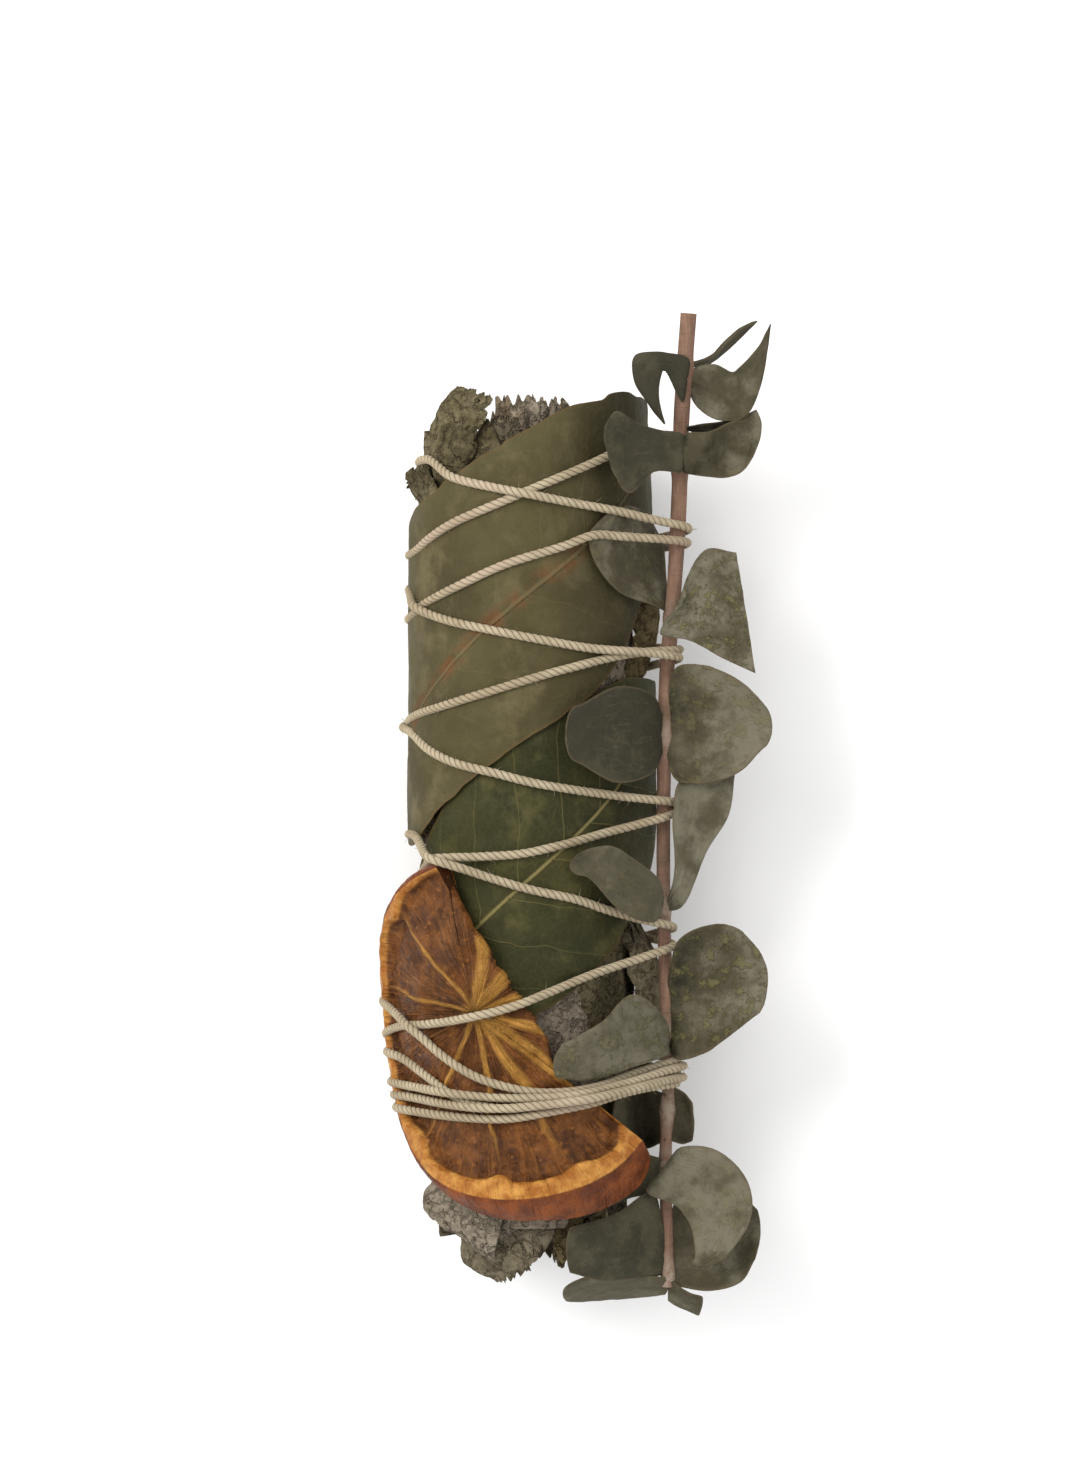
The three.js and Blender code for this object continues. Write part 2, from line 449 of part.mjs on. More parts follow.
// The round leaves, in pairs down the stem: stations from the stem outwards
const EUCALYPTUS = [
  [
    [[25.7, 77.4, 31]],
    [[26.5, 80.4, 33], [26, 77.2, 33.4], [25.4, 73.2, 32.8]],
    [[25, 81.2, 33], [24.3, 79.4, 34], [23.6, 76.6, 33.2]],
    [[20.6, 81.5, 34], [20.7, 79.6, 35.4], [22.3, 78.6, 34.6]],
    [[17.4, 80.9, 34], [18.7, 78.2, 35.8], [21.6, 76.8, 35.2]],
    [[17.2, 77, 34.6], [19, 75.4, 36], [21.4, 74, 35.8]],
    [[19.4, 73.2, 35.4], [20.6, 72.6, 36.4], [21.6, 72, 36.4]],
    [[22.4, 69.4, 36]],
  ],
  [
    [[25.9, 77.6, 31.2]],
    [[27.7, 79.2, 31], [29, 76.2, 30.4], [27.6, 73, 30]],
    [[31, 79.7, 32], [31.5, 75, 31], [30.8, 70.5, 31.5]],
    [[33.8, 78.4, 32], [33.8, 74, 33], [34.2, 70.1, 33.5]],
    [[35.2, 79.2, 34.4], [36.4, 75.4, 35.6], [36.4, 71, 35.8]],
    [[38.4, 82.8, 36.6], [38.7, 79.6, 37.2], [38.6, 76, 37]],
    [[40.1, 86, 38.5]],
  ],
  [
    [[26, 79.2, 30.6]],
    [[29.6, 79.9, 26.5], [30, 80.9, 28.5], [30.6, 81.2, 30.4]],
    [[33.8, 83, 25.5], [34.2, 84.4, 28], [34.8, 85.2, 31]],
    [[38.2, 87, 30]],
  ],
  [
    [[25.2, 62.6, 30.6]],
    [[25.3, 64.3, 34.4], [25.2, 63, 34.4], [25, 61.6, 33.4]],
    [[25.4, 67.6, 35.9], [25.2, 64.8, 35.9], [25, 61.2, 34.4]],
    [[21.4, 68.2, 37.8], [21, 65, 38], [20.8, 61.4, 36.4]],
    [[17.4, 69.4, 39.8], [16.8, 64.6, 39.9], [16.2, 57.6, 38.6]],
    [[14.8, 71, 41.9], [13.8, 66, 42.4], [14.2, 60, 41.2]],
    [[12.2, 67.4, 43.4]],
  ],
  [
    [[25.2, 62.5, 30.6]],
    [[25.7, 64.3, 34.3], [25.7, 63, 34.3], [25.7, 61.6, 33.3]],
    [[25.9, 67.6, 35.8], [25.9, 64.8, 35.8], [25.9, 61.2, 34.2]],
    [[29.8, 68.2, 34.8], [29.4, 64.6, 34], [29.6, 60.6, 33]],
    [[32.8, 69.6, 33.6], [32.8, 65, 31], [33, 60.6, 32]],
    [[36, 71, 34.4], [36.6, 66, 32.2], [35.8, 61.6, 32.8]],
    [[37.8, 71.9, 35.5], [38.8, 68.6, 34.8], [38, 65, 34.6]],
  ],
  [
    [[25.2, 68.8, 30.7]],
    [[27.6, 69.4, 32.2], [27.8, 68.8, 31.8], [28, 68.2, 31.4]],
    [[32, 70, 31.8], [32, 68.4, 31.2], [32, 66.8, 31]],
    [[36, 70.8, 32.4], [36, 69, 31.8], [35.6, 67, 31.6]],
  ],
  [
    [[22.6, 38.6, 29.2], [23.2, 37.2, 28.9], [23.4, 36, 28.6]],
    [over(14.6, 41.2, 4.6), over(18, 43, 4.7), [22.8, 43.6, 26.6]],
    [over(10.4, 46.6, 4.8), over(14.8, 49.2, 4.5), [22.2, 49.4, 26.8]],
    [over(9.6, 50.6, 4.7), over(14.4, 52.6, 4.5), [20.4, 53.2, 27.2]],
    [over(15.4, 55.2, 4.6)],
  ],
  [
    [[23.8, 36.6, 28.8]],
    [[25.8, 40, 31.8], [23.2, 36.8, 32], [21.8, 34, 31.6]],
    [[26.6, 44.2, 31.6], [27.6, 38.4, 30.4], [26.6, 33, 31]],
    [[29.4, 48.2, 33], [31.4, 38.8, 30.6], [31.8, 30.2, 31.4]],
    [[34.4, 47.7, 34.5], [36.2, 37.4, 32.5], [37.8, 27.4, 32.5]],
  ],
  [
    [[22.2, 19.8, 28.6], [22.2, 16.8, 28.8], [22.2, 14, 28.6]],
    [[20.6, 23.6, 31.4], [20.2, 17, 31.8], [20.4, 10.6, 31.4]],
    [[14.4, 25.2, 38.2], [14.4, 17.2, 37.2], [14, 9, 38]],
    [[8.4, 22.2, 42.6], [8.6, 17.2, 41.8], [8.2, 12.2, 42.4]],
    [[5.8, 17.4, 43.6]],
  ],
  [
    [[23, 22, 28.6], [22.8, 18, 28], [22.8, 14, 28.4]],
    [[24.4, 28.4, 30.6], [24.6, 18.6, 28.4], [24.4, 9.4, 30.4]],
    [[29, 28.8, 31.4], [28.6, 18.6, 28], [28.8, 8.8, 31]],
    [[35, 26, 33], [34.2, 18.8, 29.6], [34.4, 10.4, 32.8]],
    [[39.2, 22, 34], [40.4, 18.8, 33], [39.4, 15.2, 33.8]],
  ],
  [
    [[22.4, -11.6, 27]],
    [[21.4, -7.4, 32.8], [20.7, -11.4, 34.4], [20.4, -14.6, 34.6]],
    [[17.6, -4.2, 36.6], [16.2, -8.4, 38], [15, -12.6, 38.8]],
    [[13.4, -1.6, 40], [11.4, -4.2, 41], [9.4, -6.8, 42]],
    [[6.8, -3.7, 43.2]],
  ],
  [
    [[22.6, -12.6, 27]],
    [[24.2, -6, 31], [25, -8.4, 30], [25.4, -12.2, 29.2]],
    [[24, 4, 31.2], [27, 0.2, 29.4], [29.8, -2.6, 28.6]],
    [[25.4, 9.6, 29.4], [29.6, 6.2, 28.2], [33.4, 3.4, 28.2]],
    [[34.4, 10.2, 28.6]],
  ],
  [
    [[23, -25, 27.4], [22.9, -31, 27], [23.2, -36.6, 27.4]],
    [[24.9, -17.6, 31.9], [25.6, -27, 28], [24.8, -38, 30]],
    [[29.6, -15.2, 31.4], [29.2, -26, 27.8], [29.8, -36.6, 30.6]],
    [[34.6, -15.6, 32.4], [33.8, -24.6, 28.8], [34.4, -33, 32]],
    [[38, -19.2, 33.8], [39.6, -24.2, 33], [38.4, -29.8, 33.8]],
  ],
  [
    [[22.6, -36.6, 27]],
    [[22.8, -31.6, 31], [22.4, -34.8, 31.4], [23, -37.2, 31]],
    [[17.2, -26.6, 36.4], [17, -34.4, 36.6], [17.2, -38.8, 36.8]],
    [[11.6, -31, 41.4], [10.4, -36.8, 41.8], [9.6, -40.6, 41.4]],
    [[5, -34.6, 44.4], [3.6, -37.6, 45.2], [4.2, -40.2, 44.8]],
  ],
  [
    [[22.6, -44, 27.4], [22.4, -48, 27], [22.6, -52, 27.2]],
    [over(19.2, -43.4, 3.4), over(19, -48.4, 3), over(19.4, -54, 3.4)],
    [over(14, -44, 3.3), over(13.4, -48.6, 3), over(14.4, -51.8, 3.4)],
  ],
  [
    [[23.6, -42.6, 26.4], [23.4, -47, 26.2], [23.4, -52, 26.2]],
    [[26, -43.9, 26.6], [26, -47.4, 25.6], [25.6, -52.6, 26.2]],
    [[27.3, -45.4, 27.6], [27.6, -48.6, 26.8], [27.2, -52, 27]],
  ],
  [
    [[22.6, -56.6, 26.4]],
    [[25.4, -52.8, 30.2], [23, -56.8, 30.2], [19.4, -60.4, 30.4]],
    [[31.2, -53.2, 32.4], [27.8, -58.8, 30], [24.4, -62.8, 29.6]],
    [[36.2, -58, 33.4], [31.6, -63, 31], [26.8, -66, 30.8]],
    [[37, -64.4, 33.4], [32.4, -67.4, 31.4], [27.5, -69, 31.4]],
    [[33, -70.8, 32.2], [30.4, -71, 31.6], [27.6, -71.4, 31.6]],
    [[28.6, -72.6, 31.8]],
  ],
  [
    [[22, -55, 27], [21.8, -58, 26.6], [21.8, -61, 26.6]],
    [over(17, -53.8, 3.1), over(17, -58, 3), over(17.6, -61.4, 3)],
    [over(11.6, -57, 3.1), over(11, -60, 3), over(11.4, -63, 3.1)],
  ],
  [
    [[23.2, -67, 25.6], [23.4, -73, 25], [23.6, -76.6, 25.2]],
    [[25.2, -61, 25.8], [25.4, -69, 24.6], [25.2, -77, 25.6]],
    [[30, -60.2, 25.2], [30, -68.4, 24.4], [30, -77.6, 26.4]],
    [[35.6, -61.4, 25.8], [35.4, -68.6, 25], [35.2, -76, 27]],
    [[38.4, -63.6, 27], [38.9, -67.6, 26.6], [38, -72, 27.8]],
  ],
  [
    [[22.2, -66, 26.4], [22, -72, 26], [22, -75, 25.8]],
    [[20.4, -60.6, 28.4], [18.6, -68.6, 29.6], [18.4, -75.2, 28.2]],
    [[14.2, -63.8, 33], [13.4, -69.4, 34.4], [12.6, -75.2, 32.2]],
    [[6.6, -65.6, 39.4], [5.8, -69, 39], [6.4, -73.4, 36.6]],
  ],
  [
    [[22.6, -75.2, 26.4], [22.8, -76.8, 24.8], [22.7, -78.6, 22.8]],
    [[15, -74.6, 29.4], [15.4, -77, 24.6], [15.6, -79.8, 18]],
    [[9, -75, 31.4], [9, -77.4, 26.4], [8.8, -80, 19]],
    [[6, -76.2, 31.6], [5.2, -77.8, 28], [5.8, -79.4, 23]],
  ],
  [
    [[23.4, -75.6, 25.8], [23.4, -77.4, 24.4], [23.2, -79.6, 22.4]],
    [[26.2, -77.4, 26.6], [26, -79.6, 23.6], [25.6, -81.4, 20]],
    [[29, -78.4, 27], [29, -80.4, 24.4], [28.4, -82.6, 21]],
  ],
];

// The leaves that the string holds down on the bundle, by their place in the list
const HELD_LEAVES = [6, 14, 17];

/** The stem with those of its leaves that wanted(place) picks. */
function eucalyptusSprig(wanted) {
  const line = new THREE.CatmullRomCurve3(STEM.map((p) => new THREE.Vector3(...p)));
  const steps = 26;
  const points = line.getPoints(steps);
  const radii = points.map((p, i) => {
    const nearest = Math.min(...STEM_NODES_Y.map((y) => Math.abs(p.y - y)));
    return lerp(STEM_RADIUS.top, STEM_RADIUS.bottom, i / steps) + 0.3 * Math.exp(-((nearest / 1.6) ** 2));
  });
  const axisAt = (y) => {
    const next = points.findIndex((p) => p.y <= y);
    const [p, q] = [points[Math.max(next - 1, 0)], points[Math.max(next, 1)]];
    return p.clone().lerp(q, (y - p.y) / (q.y - p.y)).toArray();
  };
  const leaves = EUCALYPTUS.filter((stations, place) => wanted(place)).map(([base, ...others]) => {
    const foot = axisAt(base[Math.floor(base.length / 2)][1]);
    const clasp = base.length === 1 ? [foot] : [base[0], foot, base[2]];
    return blade(loft([clasp, ...others]), 5, 4, EUCALYPTUS_THICK);
  });
  return fuse([tube(points, radii, 7), ...leaves]);
}

// Dried orange slice

const SLICE = {
  centre: [-4, -32],
  hub: [-6.8, -29.2],
  radius: 29.3,
  layRadius: 21.5,
  peelThick: 4.6,
  pulpThick: 2.5,
  rimWidth: 4.2,
  underRim: 0.8,
  pressed: { degrees: 222, spread: 22, by: 2.2 },
  corner: { degrees: 316, spread: 17, by: 0.8, lift: 1.5, from: 14, full: 24 },
  bevel: { from: 215, full: 285, by: 3.2, tip: 315, tipBy: 7 },
  segments: 11,
};

// The torn edge, from the rim at the top right round by the hub to the rim at the lower right
const TORN_EDGE = [
  [-10.4, -8.2],
  [-9.2, -12.2],
  [-6.1, -17.3],
  [-2.9, -23.8],
  [-0.8, -27],
  [0.9, -29.9],
  [2.6, -32.5],
  [4.1, -38.6],
];
const CUT_ANGLES = { from: 101, to: 317 };

/** How far the slice reaches from its hub at an angle: out to its rim, or to its torn edge. */
function sliceReach(angle) {
  const [hx, hy] = SLICE.hub;
  const degrees = ((THREE.MathUtils.radToDeg(angle) % 360) + 360) % 360;
  if (degrees > CUT_ANGLES.from && degrees < CUT_ANGLES.to) {
    const [ox, oy] = [hx - SLICE.centre[0], hy - SLICE.centre[1]];
    const along = ox * Math.cos(angle) + oy * Math.sin(angle);
    const { degrees: middle, spread, by } = SLICE.pressed;
    const dent = by * Math.exp(-(((degrees - middle) / spread) ** 2));
    const { corner } = SLICE;
    const swell = corner.by * Math.exp(-(((degrees - corner.degrees) / corner.spread) ** 2));
    return -along + Math.sqrt(along ** 2 + SLICE.radius ** 2 - ox ** 2 - oy ** 2) - dent + swell;
  }
  const polar = TORN_EDGE.map(([x, y]) => [
    (THREE.MathUtils.radToDeg(Math.atan2(y - hy, x - hx)) + 360 + 60) % 360,
    Math.hypot(x - hx, y - hy),
  ]).sort((a, b) => a[0] - b[0]);
  const at = (degrees + 60) % 360;
  const next = polar.findIndex(([d]) => d > at);
  if (next < 0) return polar[polar.length - 1][1];
  if (next === 0) return polar[0][1];
  const [[d0, r0], [d1, r1]] = [polar[next - 1], polar[next]];
  return lerp(r0, r1, (at - d0) / (d1 - d0));
}

/** The thickness of the slice at a point of its plane: a raised rim of peel and pith, thin pulp, membranes. */
function sliceThickness(x, y) {
  const [cx, cy] = SLICE.centre;
  const [hx, hy] = SLICE.hub;
  const fromRim = SLICE.radius - Math.hypot(x - cx, y - cy);
  const rim = 1 - THREE.MathUtils.smoothstep(fromRim, SLICE.rimWidth * 0.6, SLICE.rimWidth * 1.3);
  const angle = Math.atan2(y - hy, x - hx);
  const membrane = Math.abs(Math.cos((SLICE.segments / 2) * angle)) ** 6;
  const hub = Math.exp(-((Math.hypot(x - hx, y - hy) / 4) ** 2));
  return lerp(SLICE.pulpThick + 0.6 * membrane + 0.8 * hub, SLICE.peelThick, rim);
}

/** How much further the peel reaches below than above at an angle of the rim. */
function peelBevel(degrees) {
  const { from, full, by, tip, tipBy } = SLICE.bevel;
  if (degrees > CUT_ANGLES.to) return 0;
  const first = by * clamp((degrees - from) / (full - from), 0, 1);
  return first + (tipBy - by) * clamp((degrees - full) / (tip - full), 0, 1);
}

function orangeSlice() {
  const rings = [0.25, 0.5, 0.72, 0.84, 0.93, 1];
  const cut = 0.6;
  const [rimSpan, tornSpan] = [CUT_ANGLES.to - CUT_ANGLES.from, 360 - CUT_ANGLES.to + CUT_ANGLES.from];
  const spread = (from, span, count) =>
    Array.from({ length: count }, (_, k) => from + cut + ((span - 2 * cut) * k) / (count - 1));
  const angles = [...spread(CUT_ANGLES.from, rimSpan, 36), ...spread(CUT_ANGLES.to, tornSpan, 15)];
  const { corner } = SLICE;
  const place = (x, y, height) => {
    const lift = corner.lift * THREE.MathUtils.smoothstep(x, corner.from, corner.full);
    return around(x / SLICE.layRadius, y, ORANGE_H + height + lift).toArray();
  };
  const [hx, hy] = SLICE.hub;
  const top = [place(hx, hy, sliceThickness(hx, hy))];
  const bottom = [place(hx, hy, 0)];
  angles.forEach((degrees) => {
    const angle = rad(degrees);
    const reach = sliceReach(angle);
    rings.forEach((share) => {
      const [x, y] = [hx + share * reach * Math.cos(angle), hy + share * reach * Math.sin(angle)];
      top.push(place(x, y, sliceThickness(x, y)));
      const atEdge = share === 1;
      const wider = atEdge ? 1 + peelBevel(degrees) / reach : 1;
      bottom.push(place(hx + (x - hx) * wider, hy + (y - hy) * wider, atEdge ? SLICE.underRim : 0));
    });
  });
  const count = top.length;
  const triangles = [];
  const id = (k, r) => 1 + (k % angles.length) * rings.length + r;
  for (let k = 0; k < angles.length; k += 1) {
    triangles.push([0, id(k, 0), id(k + 1, 0)], [count, count + id(k + 1, 0), count + id(k, 0)]);
    for (let r = 0; r < rings.length - 1; r += 1) {
      const [a, b, c, d] = [id(k, r), id(k, r + 1), id(k + 1, r + 1), id(k + 1, r)];
      triangles.push([a, b, c], [a, c, d]);
      triangles.push([a + count, c + count, b + count], [a + count, d + count, c + count]);
    }
    const [a, b] = [id(k, rings.length - 1), id(k + 1, rings.length - 1)];
    triangles.push([a, a + count, b + count], [a, b + count, b]);
  }
  return solid([...top, ...bottom], triangles);
}

// String

/**
 * The way of the string as [degrees round from the top, y]. It starts at the knot under the left side, goes up
 * the bundle in open turns, comes down across them, and ends with the turns of the band and the knot.
 */
const STRING_ROUTE = [
  [-150, -49],
  [-132, -46.5],
  [-98, -45.5],
  [-63, -46.4],
  [-34, -46.9],
  [-8, -47],
  [9, -45.8],
  [47, -43],
  [76, -42.2],
  [120, -42.4],
  [180, -41],
  [240, -38],
  [286, -32.8],
  [316, -31.6],
  [335, -30.4],
  [352, -28.6],
  [368, -26.2],
  [389, -23.6],
  [414, -21.1],
  [436, -18.6],
  [480, -17],
  [540, -13],
  [600, -9],
  [650, -6.8],
  [676, -3.9],
  [698, -3.4],
  [717, -2.9],
  [736, -1.5],
  [757, 0.3],
  [774, 1.7],
  [797, 4.1],
  [840, 8],
  [900, 13],
  [960, 17.6],
  [1004, 19.9],
  [1036, 21.8],
  [1058, 23.8],
  [1096, 27.9],
  [1134, 30.9],
  [1158, 31.6],
  [1200, 32.6],
  [1260, 34.4],
  [1320, 36.4],
  [1364, 37.2],
  [1382, 39.1],
  [1404, 41.7],
  [1431, 45.7],
  [1456, 48.6],
  [1469, 50.5],
  [1482, 50.4],
  [1507, 49.8],
  [1520, 49.2],
  [1560, 48.6],
  [1620, 48.2],
  [1680, 48],
  [1729, 48.1],
  [1747, 50.2],
  [1763, 52.5],
  [1784, 55.4],
  [1806, 58.8],
  [1829, 62.4],
  [1846, 65.2],
  [1862, 66.2],
  [1876, 66.4],
  [1908, 65.2],
  [1950, 63],
  [2020, 61.4],
  [2080, 63],
  [2103, 63.6],
  [2123, 60.4],
  [2147, 58.3],
  [2175, 56.3],
  [2202, 54.6],
  [2238, 51.4],
  [2280, 49.6],
  [2340, 46],
  [2400, 43],
  [2442, 41.1],
  [2466, 37.7],
  [2484, 36],
  [2498, 35],
  [2523, 33.2],
  [2549, 31.6],
  [2574, 30.9],
  [2596, 29.8],
  [2640, 27.4],
  [2700, 23],
  [2760, 19.2],
  [2807, 17.2],
  [2826, 14.6],
  [2844, 12.4],
  [2864, 10.7],
  [2883, 9],
  [2903, 7.8],
  [2925, 6.8],
  [2956, 5.4],
  [3000, 2.6],
  [3036, 0.8],
  [3060, 0],
  [3084, -0.3],
  [3120, -0.4],
  [3177, -0.3],
  [3196, -2.9],
  [3211, -5.1],
  [3224, -7],
  [3243, -9],
  [3263, -10.5],
  [3285, -12.9],
  [3316, -15.8],
  [3360, -18.6],
  [3420, -22.4],
  [3480, -26],
  [3510, -28.1],
  [3544, -31.8],
  [3563, -36.7],
  [3575, -39.3],
  [3587, -41.1],
  [3598, -42.2],
  [3608, -42.6],
  [3629, -41.9],
  [3654, -39.8],
  [3674, -38.3],
  [3720, -37.6],
  [3780, -37],
  [3840, -36.8],
  [3889, -37.6],
  [3908, -40],
  [3923, -42.3],
  [3935, -44.4],
  [3947, -45.2],
  [3955, -45.3],
  [3968, -44.2],
  [3983, -43.2],
  [4005, -41.8],
  [4036, -40.2],
  [4080, -39.8],
  [4140, -39.6],
  [4200, -41.4],
  [4253, -42.2],
  [4286, -42.8],
  [4303, -43.4],
  [4318, -43.5],
  [4335, -43],
  [4367, -41],
  [4396, -39.3],
  [4440, -41.6],
  [4500, -43.2],
  [4560, -44.4],
  [4616, -44.2],
  [4648, -44.9],
  [4669, -45.2],
  [4685, -44.6],
  [4715, -42.7],
  [4756, -41.2],
  [4800, -44.2],
  [4860, -46.8],
  [4908, -48],
  [4922, -50.5],
];
const UNDERSIDE = { lowestZ: 0.6, pressed: 0.36, from: 1, to: 3 };
const ROUTE_STEP = 1.2;
const KEPT_BEND = 0.34;
const KNOT = {
  degrees: -134,
  y: -47.3,
  height: 3.3,
  loopRadius: 1.35,
  loops: [-0.7, 0.8],
  drawn: 0.85,
  lean: 0.3,
  sides: 5,
  steps: 8,
};

/** Meshes that the string is drawn tight over. */
function stringSupports(meshes) {
  const caster = new THREE.Raycaster();
  return (phi, y) => {
    const outward = new THREE.Vector3(Math.sin(phi), 0, Math.cos(phi));
    const start = new THREE.Vector3(BUNDLE_X, y, BUNDLE_Z).addScaledVector(outward, 45);
    caster.set(start, outward.clone().negate());
    const [hit] = caster.intersectObjects(meshes, false);
    return hit ? 45 - hit.distance : HALF_WIDTH;
  };
}

/** The string's middle line: the route drawn tight over what it binds, later turns lying on earlier ones. */
function tightString(supports) {
  const route = new THREE.CatmullRomCurve3(
    STRING_ROUTE.map(([degrees, y]) => new THREE.Vector3(rad(degrees) * (HALF_WIDTH + 4), y, 0)),
  );
  route.arcLengthDivisions = 4000;
  const count = Math.round(route.getLength() / ROUTE_STEP);
  const way = route.getSpacedPoints(count).map((p) => [p.x / (HALF_WIDTH + 4), p.y]);
  const reach = stringSupports(supports);
  const beside = [[0, 0], [0.055, 0], [-0.055, 0], [0, STRING_RADIUS], [0, -STRING_RADIUS]];
  const least = way.map(([phi, y]) =>
    Math.max(...beside.map(([dPhi, dy]) => reach(phi + dPhi, y + dy))) + STRING_GAP + STRING_RADIUS,
  );
  const width = 2 * STRING_RADIUS + 0.12;
  const radius = [...least];
  const oneTurn = Math.round((2 * Math.PI * (HALF_WIDTH + 4)) / ROUTE_STEP);
  const draw = (from, to) => {
    for (let pass = 0; pass < 60; pass += 1) {
      for (let i = Math.max(from, 1); i < to; i += 1) {
        const [before, after] = [way[i][0] - way[i - 1][0], way[i + 1][0] - way[i][0]];
        const [a, b] = [radius[i - 1], radius[i + 1]];
        const chord = (a * b * Math.sin(before + after)) / (a * Math.sin(before) + b * Math.sin(after));
        radius[i] = Math.max(least[i], chord);
      }
    }
  };
  const window = Math.round(oneTurn / 2);
  for (let from = 0; from < count; from += window) {
    const to = Math.min(from + window, count);
    for (let i = from; i <= to; i += 1) {
      for (let j = 0; j < i - window; j += 1) {
        const turn = (way[i][0] - way[j][0]) / (2 * Math.PI);
        const apartPhi = (turn - Math.round(turn)) * 2 * Math.PI * radius[j];
        const apart = Math.hypot(apartPhi, way[i][1] - way[j][1]);
        if (apart < width) least[i] = Math.max(least[i], radius[j] + Math.sqrt(width ** 2 - apart ** 2));
      }
    }
    for (let i = from; i <= to; i += 1) radius[i] = Math.max(radius[i], least[i]);
    draw(Math.max(from - window, 0), to);
  }
  return way.map(([phi, y], i) => {
    const round = BUNDLE_Z + radius[i] * Math.cos(phi);
    const z = round - UNDERSIDE.pressed * (1 - THREE.MathUtils.smoothstep(round, UNDERSIDE.from, UNDERSIDE.to));
    return new THREE.Vector3(BUNDLE_X + radius[i] * Math.sin(phi), y, Math.max(z, UNDERSIDE.lowestZ));
  });
}

/** The points of a line that it can't do without, to within a distance. */
function simplified(points, within) {
  if (points.length < 3) return points;
  const line = new THREE.Line3(points[0], points[points.length - 1]);
  const near = new THREE.Vector3();
  let [worst, worstAt] = [0, 0];
  points.forEach((p, i) => {
    const off = line.closestPointToPoint(p, true, near).distanceTo(p);
    if (off > worst) [worst, worstAt] = [off, i];
  });
  if (worst < within) return [points[0], points[points.length - 1]];
  return [...simplified(points.slice(0, worstAt + 1), within), ...simplified(points.slice(worstAt), within).slice(1)];
}

/** A closed three.js shape as a solid. */
function solidFrom(geometry) {
  const positions = geometry.toNonIndexed().getAttribute('position');
  const corners = [];
  for (let i = 0; i < positions.count; i += 1) corners.push(new THREE.Vector3().fromBufferAttribute(positions, i));
  const faces = [];
  for (let i = 0; i < corners.length; i += 3) faces.push([i, i + 1, i + 2]);
  return solid(corners.map((p) => p.toArray()), faces);
}

/** The two small loops of the knot, round both ends of the string. */
function knotLoops() {
  const phi = rad(KNOT.degrees);
  return KNOT.loops.map((along) => {
    const loop = new THREE.TorusGeometry(KNOT.loopRadius, STRING_RADIUS * KNOT.drawn, KNOT.sides, KNOT.steps);
    loop.rotateY(Math.PI / 2 + along * KNOT.lean).rotateZ(along * KNOT.lean);
    loop.translate(along, 0, 0).rotateY(phi);
    const middle = around(phi, KNOT.y, KNOT.height);
    return solidFrom(loop.translate(middle.x, middle.y, middle.z));
  });
}

/** The string as one tube, its ends fused in a knot, and pressed flat where the stick rests on it. */
function bindingString(supports) {
  const points = simplified(tightString(supports), KEPT_BEND);
  const body = tube(points, points.map(() => STRING_RADIUS), STRING_SIDES);
  const surface = solidFrom(new THREE.BoxGeometry(200, 300, 20).translate(0, 0, -10));
  return fuse([body, ...knotLoops()]).subtract(surface);
}

// Assembly

const COLOURS = {
  sage_bundle: 0x8f8b76,
  bay_leaf_upper: 0x6c6446,
  bay_leaf_lower: 0x464a2e,
  eucalyptus_sprig: 0x5f5e50,
  orange_slice: 0xa8602c,
  string: 0xcdbfa4,
};

function finish(name) {
  return new THREE.MeshStandardMaterial({ color: COLOURS[name], roughness: 0.85, metalness: 0 });
}

const smudgeStick = new THREE.Group();
smudgeStick.add(piece('sage_bundle', sageBundle(), finish('sage_bundle')));
for (const [name, leaf] of Object.entries(BAY_LEAVES)) {
  smudgeStick.add(piece(name, bayLeaf(leaf), finish(name)));
}
smudgeStick.add(piece('orange_slice', orangeSlice(), finish('orange_slice')));
const heldSprig = piece('held_sprig', eucalyptusSprig((place) => HELD_LEAVES.includes(place)), finish('string'));
const bound = [...smudgeStick.children, heldSprig];
bound.forEach((mesh) => mesh.updateMatrixWorld(true));
smudgeStick.add(piece('eucalyptus_sprig', eucalyptusSprig(() => true), finish('eucalyptus_sprig')));
smudgeStick.add(piece('string', bindingString(bound), finish('string')));

export default smudgeStick;
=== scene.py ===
"""A smudge stick: dried sage leaves rolled into a bundle and wrapped in two bay leaves, with a sprig of
eucalyptus and a dried orange slice tied on by one cotton string. It lies on its back along Y and is seen from
above. Lengths are in millimetres, and each mesh is scaled to metres when it is made."""

import math

import bpy
import numpy as np
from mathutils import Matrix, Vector
from mathutils.bvhtree import BVHTree


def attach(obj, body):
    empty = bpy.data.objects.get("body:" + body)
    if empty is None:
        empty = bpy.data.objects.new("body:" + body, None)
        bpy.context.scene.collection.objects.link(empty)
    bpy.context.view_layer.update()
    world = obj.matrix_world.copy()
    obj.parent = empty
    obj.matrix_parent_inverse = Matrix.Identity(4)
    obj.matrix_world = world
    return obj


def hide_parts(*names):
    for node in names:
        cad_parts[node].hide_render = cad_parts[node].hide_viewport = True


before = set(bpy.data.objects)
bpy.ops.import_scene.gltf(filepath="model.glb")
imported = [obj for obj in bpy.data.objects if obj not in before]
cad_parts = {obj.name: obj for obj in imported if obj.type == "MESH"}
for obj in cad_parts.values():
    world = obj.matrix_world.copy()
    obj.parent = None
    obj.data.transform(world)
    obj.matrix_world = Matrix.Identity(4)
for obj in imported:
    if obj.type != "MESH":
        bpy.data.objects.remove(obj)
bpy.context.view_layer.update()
MM = 0.001

# View, floor and light
# A white studio sheet under the stick, in even white light with one broad lamp at the upper left, seen from
# straight above through a long lens.

